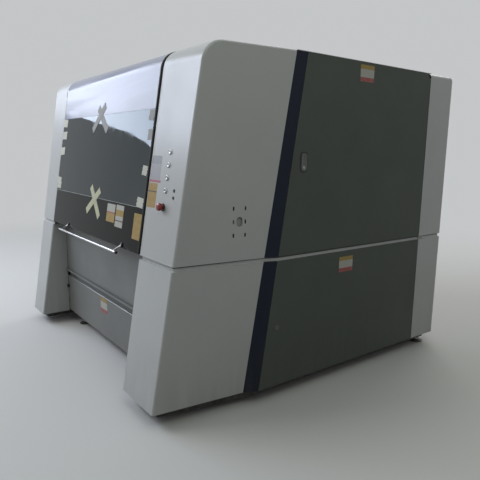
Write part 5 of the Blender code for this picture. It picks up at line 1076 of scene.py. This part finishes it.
low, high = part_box("carriage")
cap_screws("carriage_screws", "carriage", CARRIAGE_SCREW_INSET,
           (low.z + CARRIAGE_SCREW_RISE, (low.z + high.z) / 2, high.z - CARRIAGE_SCREW_RISE), "carriage_body")
low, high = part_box("head_slide")
cap_screws("slide_screws", "head_slide", SLIDE_SCREW_INSET,
           [low.z + SLIDE_SCREW_RISE + k * SLIDE_SCREW_PITCH for k in range(3)] + [high.z - SLIDE_SCREW_RISE],
           "head")
head_low, head_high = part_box("cutting_head")
head_axis = (head_low + head_high) / 2
fibre_plug = turned([(0, 0.05), (0.0055, 0.05), (0.006, 0.042), (0.0095, 0.038), (0.0095, 0.03),
                     (0.0118, 0.028), (0.0118, 0.008), (0.01, 0.006), (0.01, -0.001), (0, -0.001)],
                    (head_axis.x, head_axis.y, head_high.z), (0, 0, 1), 28)
mount("fibre_plug", fibre_plug, screw_black, "head", "black_coat")
tray_y = head_low.y - GLASS_TRAY_PROUD
glass_tray = box_shape((head_axis.x - GLASS_TRAY_HALF, tray_y, GLASS_TRAY_HEIGHTS[0]),
                       (head_axis.x + GLASS_TRAY_HALF, head_low.y + GLASS_TRAY_INSIDE, GLASS_TRAY_HEIGHTS[1]))
tray_knobs = [turned([(0, 0.009), (0.0042, 0.009), (0.005, 0.008), (0.005, 0.002), (0.0036, 0.0), (0, 0.0)],
                     (head_axis.x + x, tray_y, sum(GLASS_TRAY_HEIGHTS) / 2), (0, -1, 0), 20)
              for x in (-TRAY_KNOB_SIDE, TRAY_KNOB_SIDE)]
soften(glass_tray, GLASS_TRAY_EDGE)
mount("cover_glass_tray", [glass_tray, *tray_knobs], screw_black, "head", "black_coat")
fittings = [turned([(0, 0.02), (0.003, 0.02), (0.0044, 0.018), (0.0044, 0.01), (0.0058, 0.009),
                    (0.0058, 0.003), (0.004, 0.002), (0.004, -0.006), (0, -0.006)],
                   (head_high.x, head_axis.y, z), (1, 0, 0), 18) for z in FITTING_HEIGHTS]
mount("water_fittings", fittings, plated, "head", "steel")


# Chamber liner, laser source and electrical cabinet
# Thin grey-coated sheet lines the cutting chamber. The laser source and the
# electrical cabinet are closed steel boxes, and the cabinet's door has two locks.
CABINET_DOOR_INSET = 0.012
CABINET_DOOR_THICK = 0.0024
CABINET_DOOR_ROUND = 0.006
CABINET_DOOR_EDGE = 0.0008
CABINET_DOOR_SUNK = 0.0002
CABINET_LOCK_INSET = 0.045
CABINET_LOCK_RISE = 0.11
CABINET_LOCK_OUT = 0.002
cabinet_coat = coated("cabinet_coat", (0.36, 0.37, 0.36), 0.46, mottle=0.08, dust=0.2)
dress(coated("liner_coat", (0.24, 0.25, 0.25), 0.5, mottle=0.22, dust=0.0), "chamber_liner")
dress(coated("source_coat", (0.45, 0.46, 0.46), 0.4, dust=0.2), "laser_source")
dress(cabinet_coat, "electrical_cabinet")
low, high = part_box("electrical_cabinet")
cabinet_door = rounded_plate(high.y - low.y - 2 * CABINET_DOOR_INSET, high.z - low.z - 2 * CABINET_DOOR_INSET,
                             CABINET_DOOR_ROUND, CABINET_DOOR_THICK)
soften(cabinet_door, CABINET_DOOR_EDGE)
lay(cabinet_door, side_axes(1, high.x - CABINET_DOOR_SUNK, (low.y + high.y) / 2, (low.z + high.z) / 2))
mount("cabinet_door", cabinet_door, cabinet_coat, "machine", "grey_powder_coat")
cabinet_locks = [turned([(0, 0.003), (0.0028, 0.003), (0.003, 0.0046), (0.01, 0.0044), (0.0112, 0.003),
                         (0.0112, 0.0), (0, 0.0)], (high.x + CABINET_LOCK_OUT, low.y + CABINET_LOCK_INSET, z),
                        (1, 0, 0), 28) for z in (low.z + CABINET_LOCK_RISE, high.z - CABINET_LOCK_RISE)]
mount("cabinet_locks", cabinet_locks, plated, "machine", "steel")
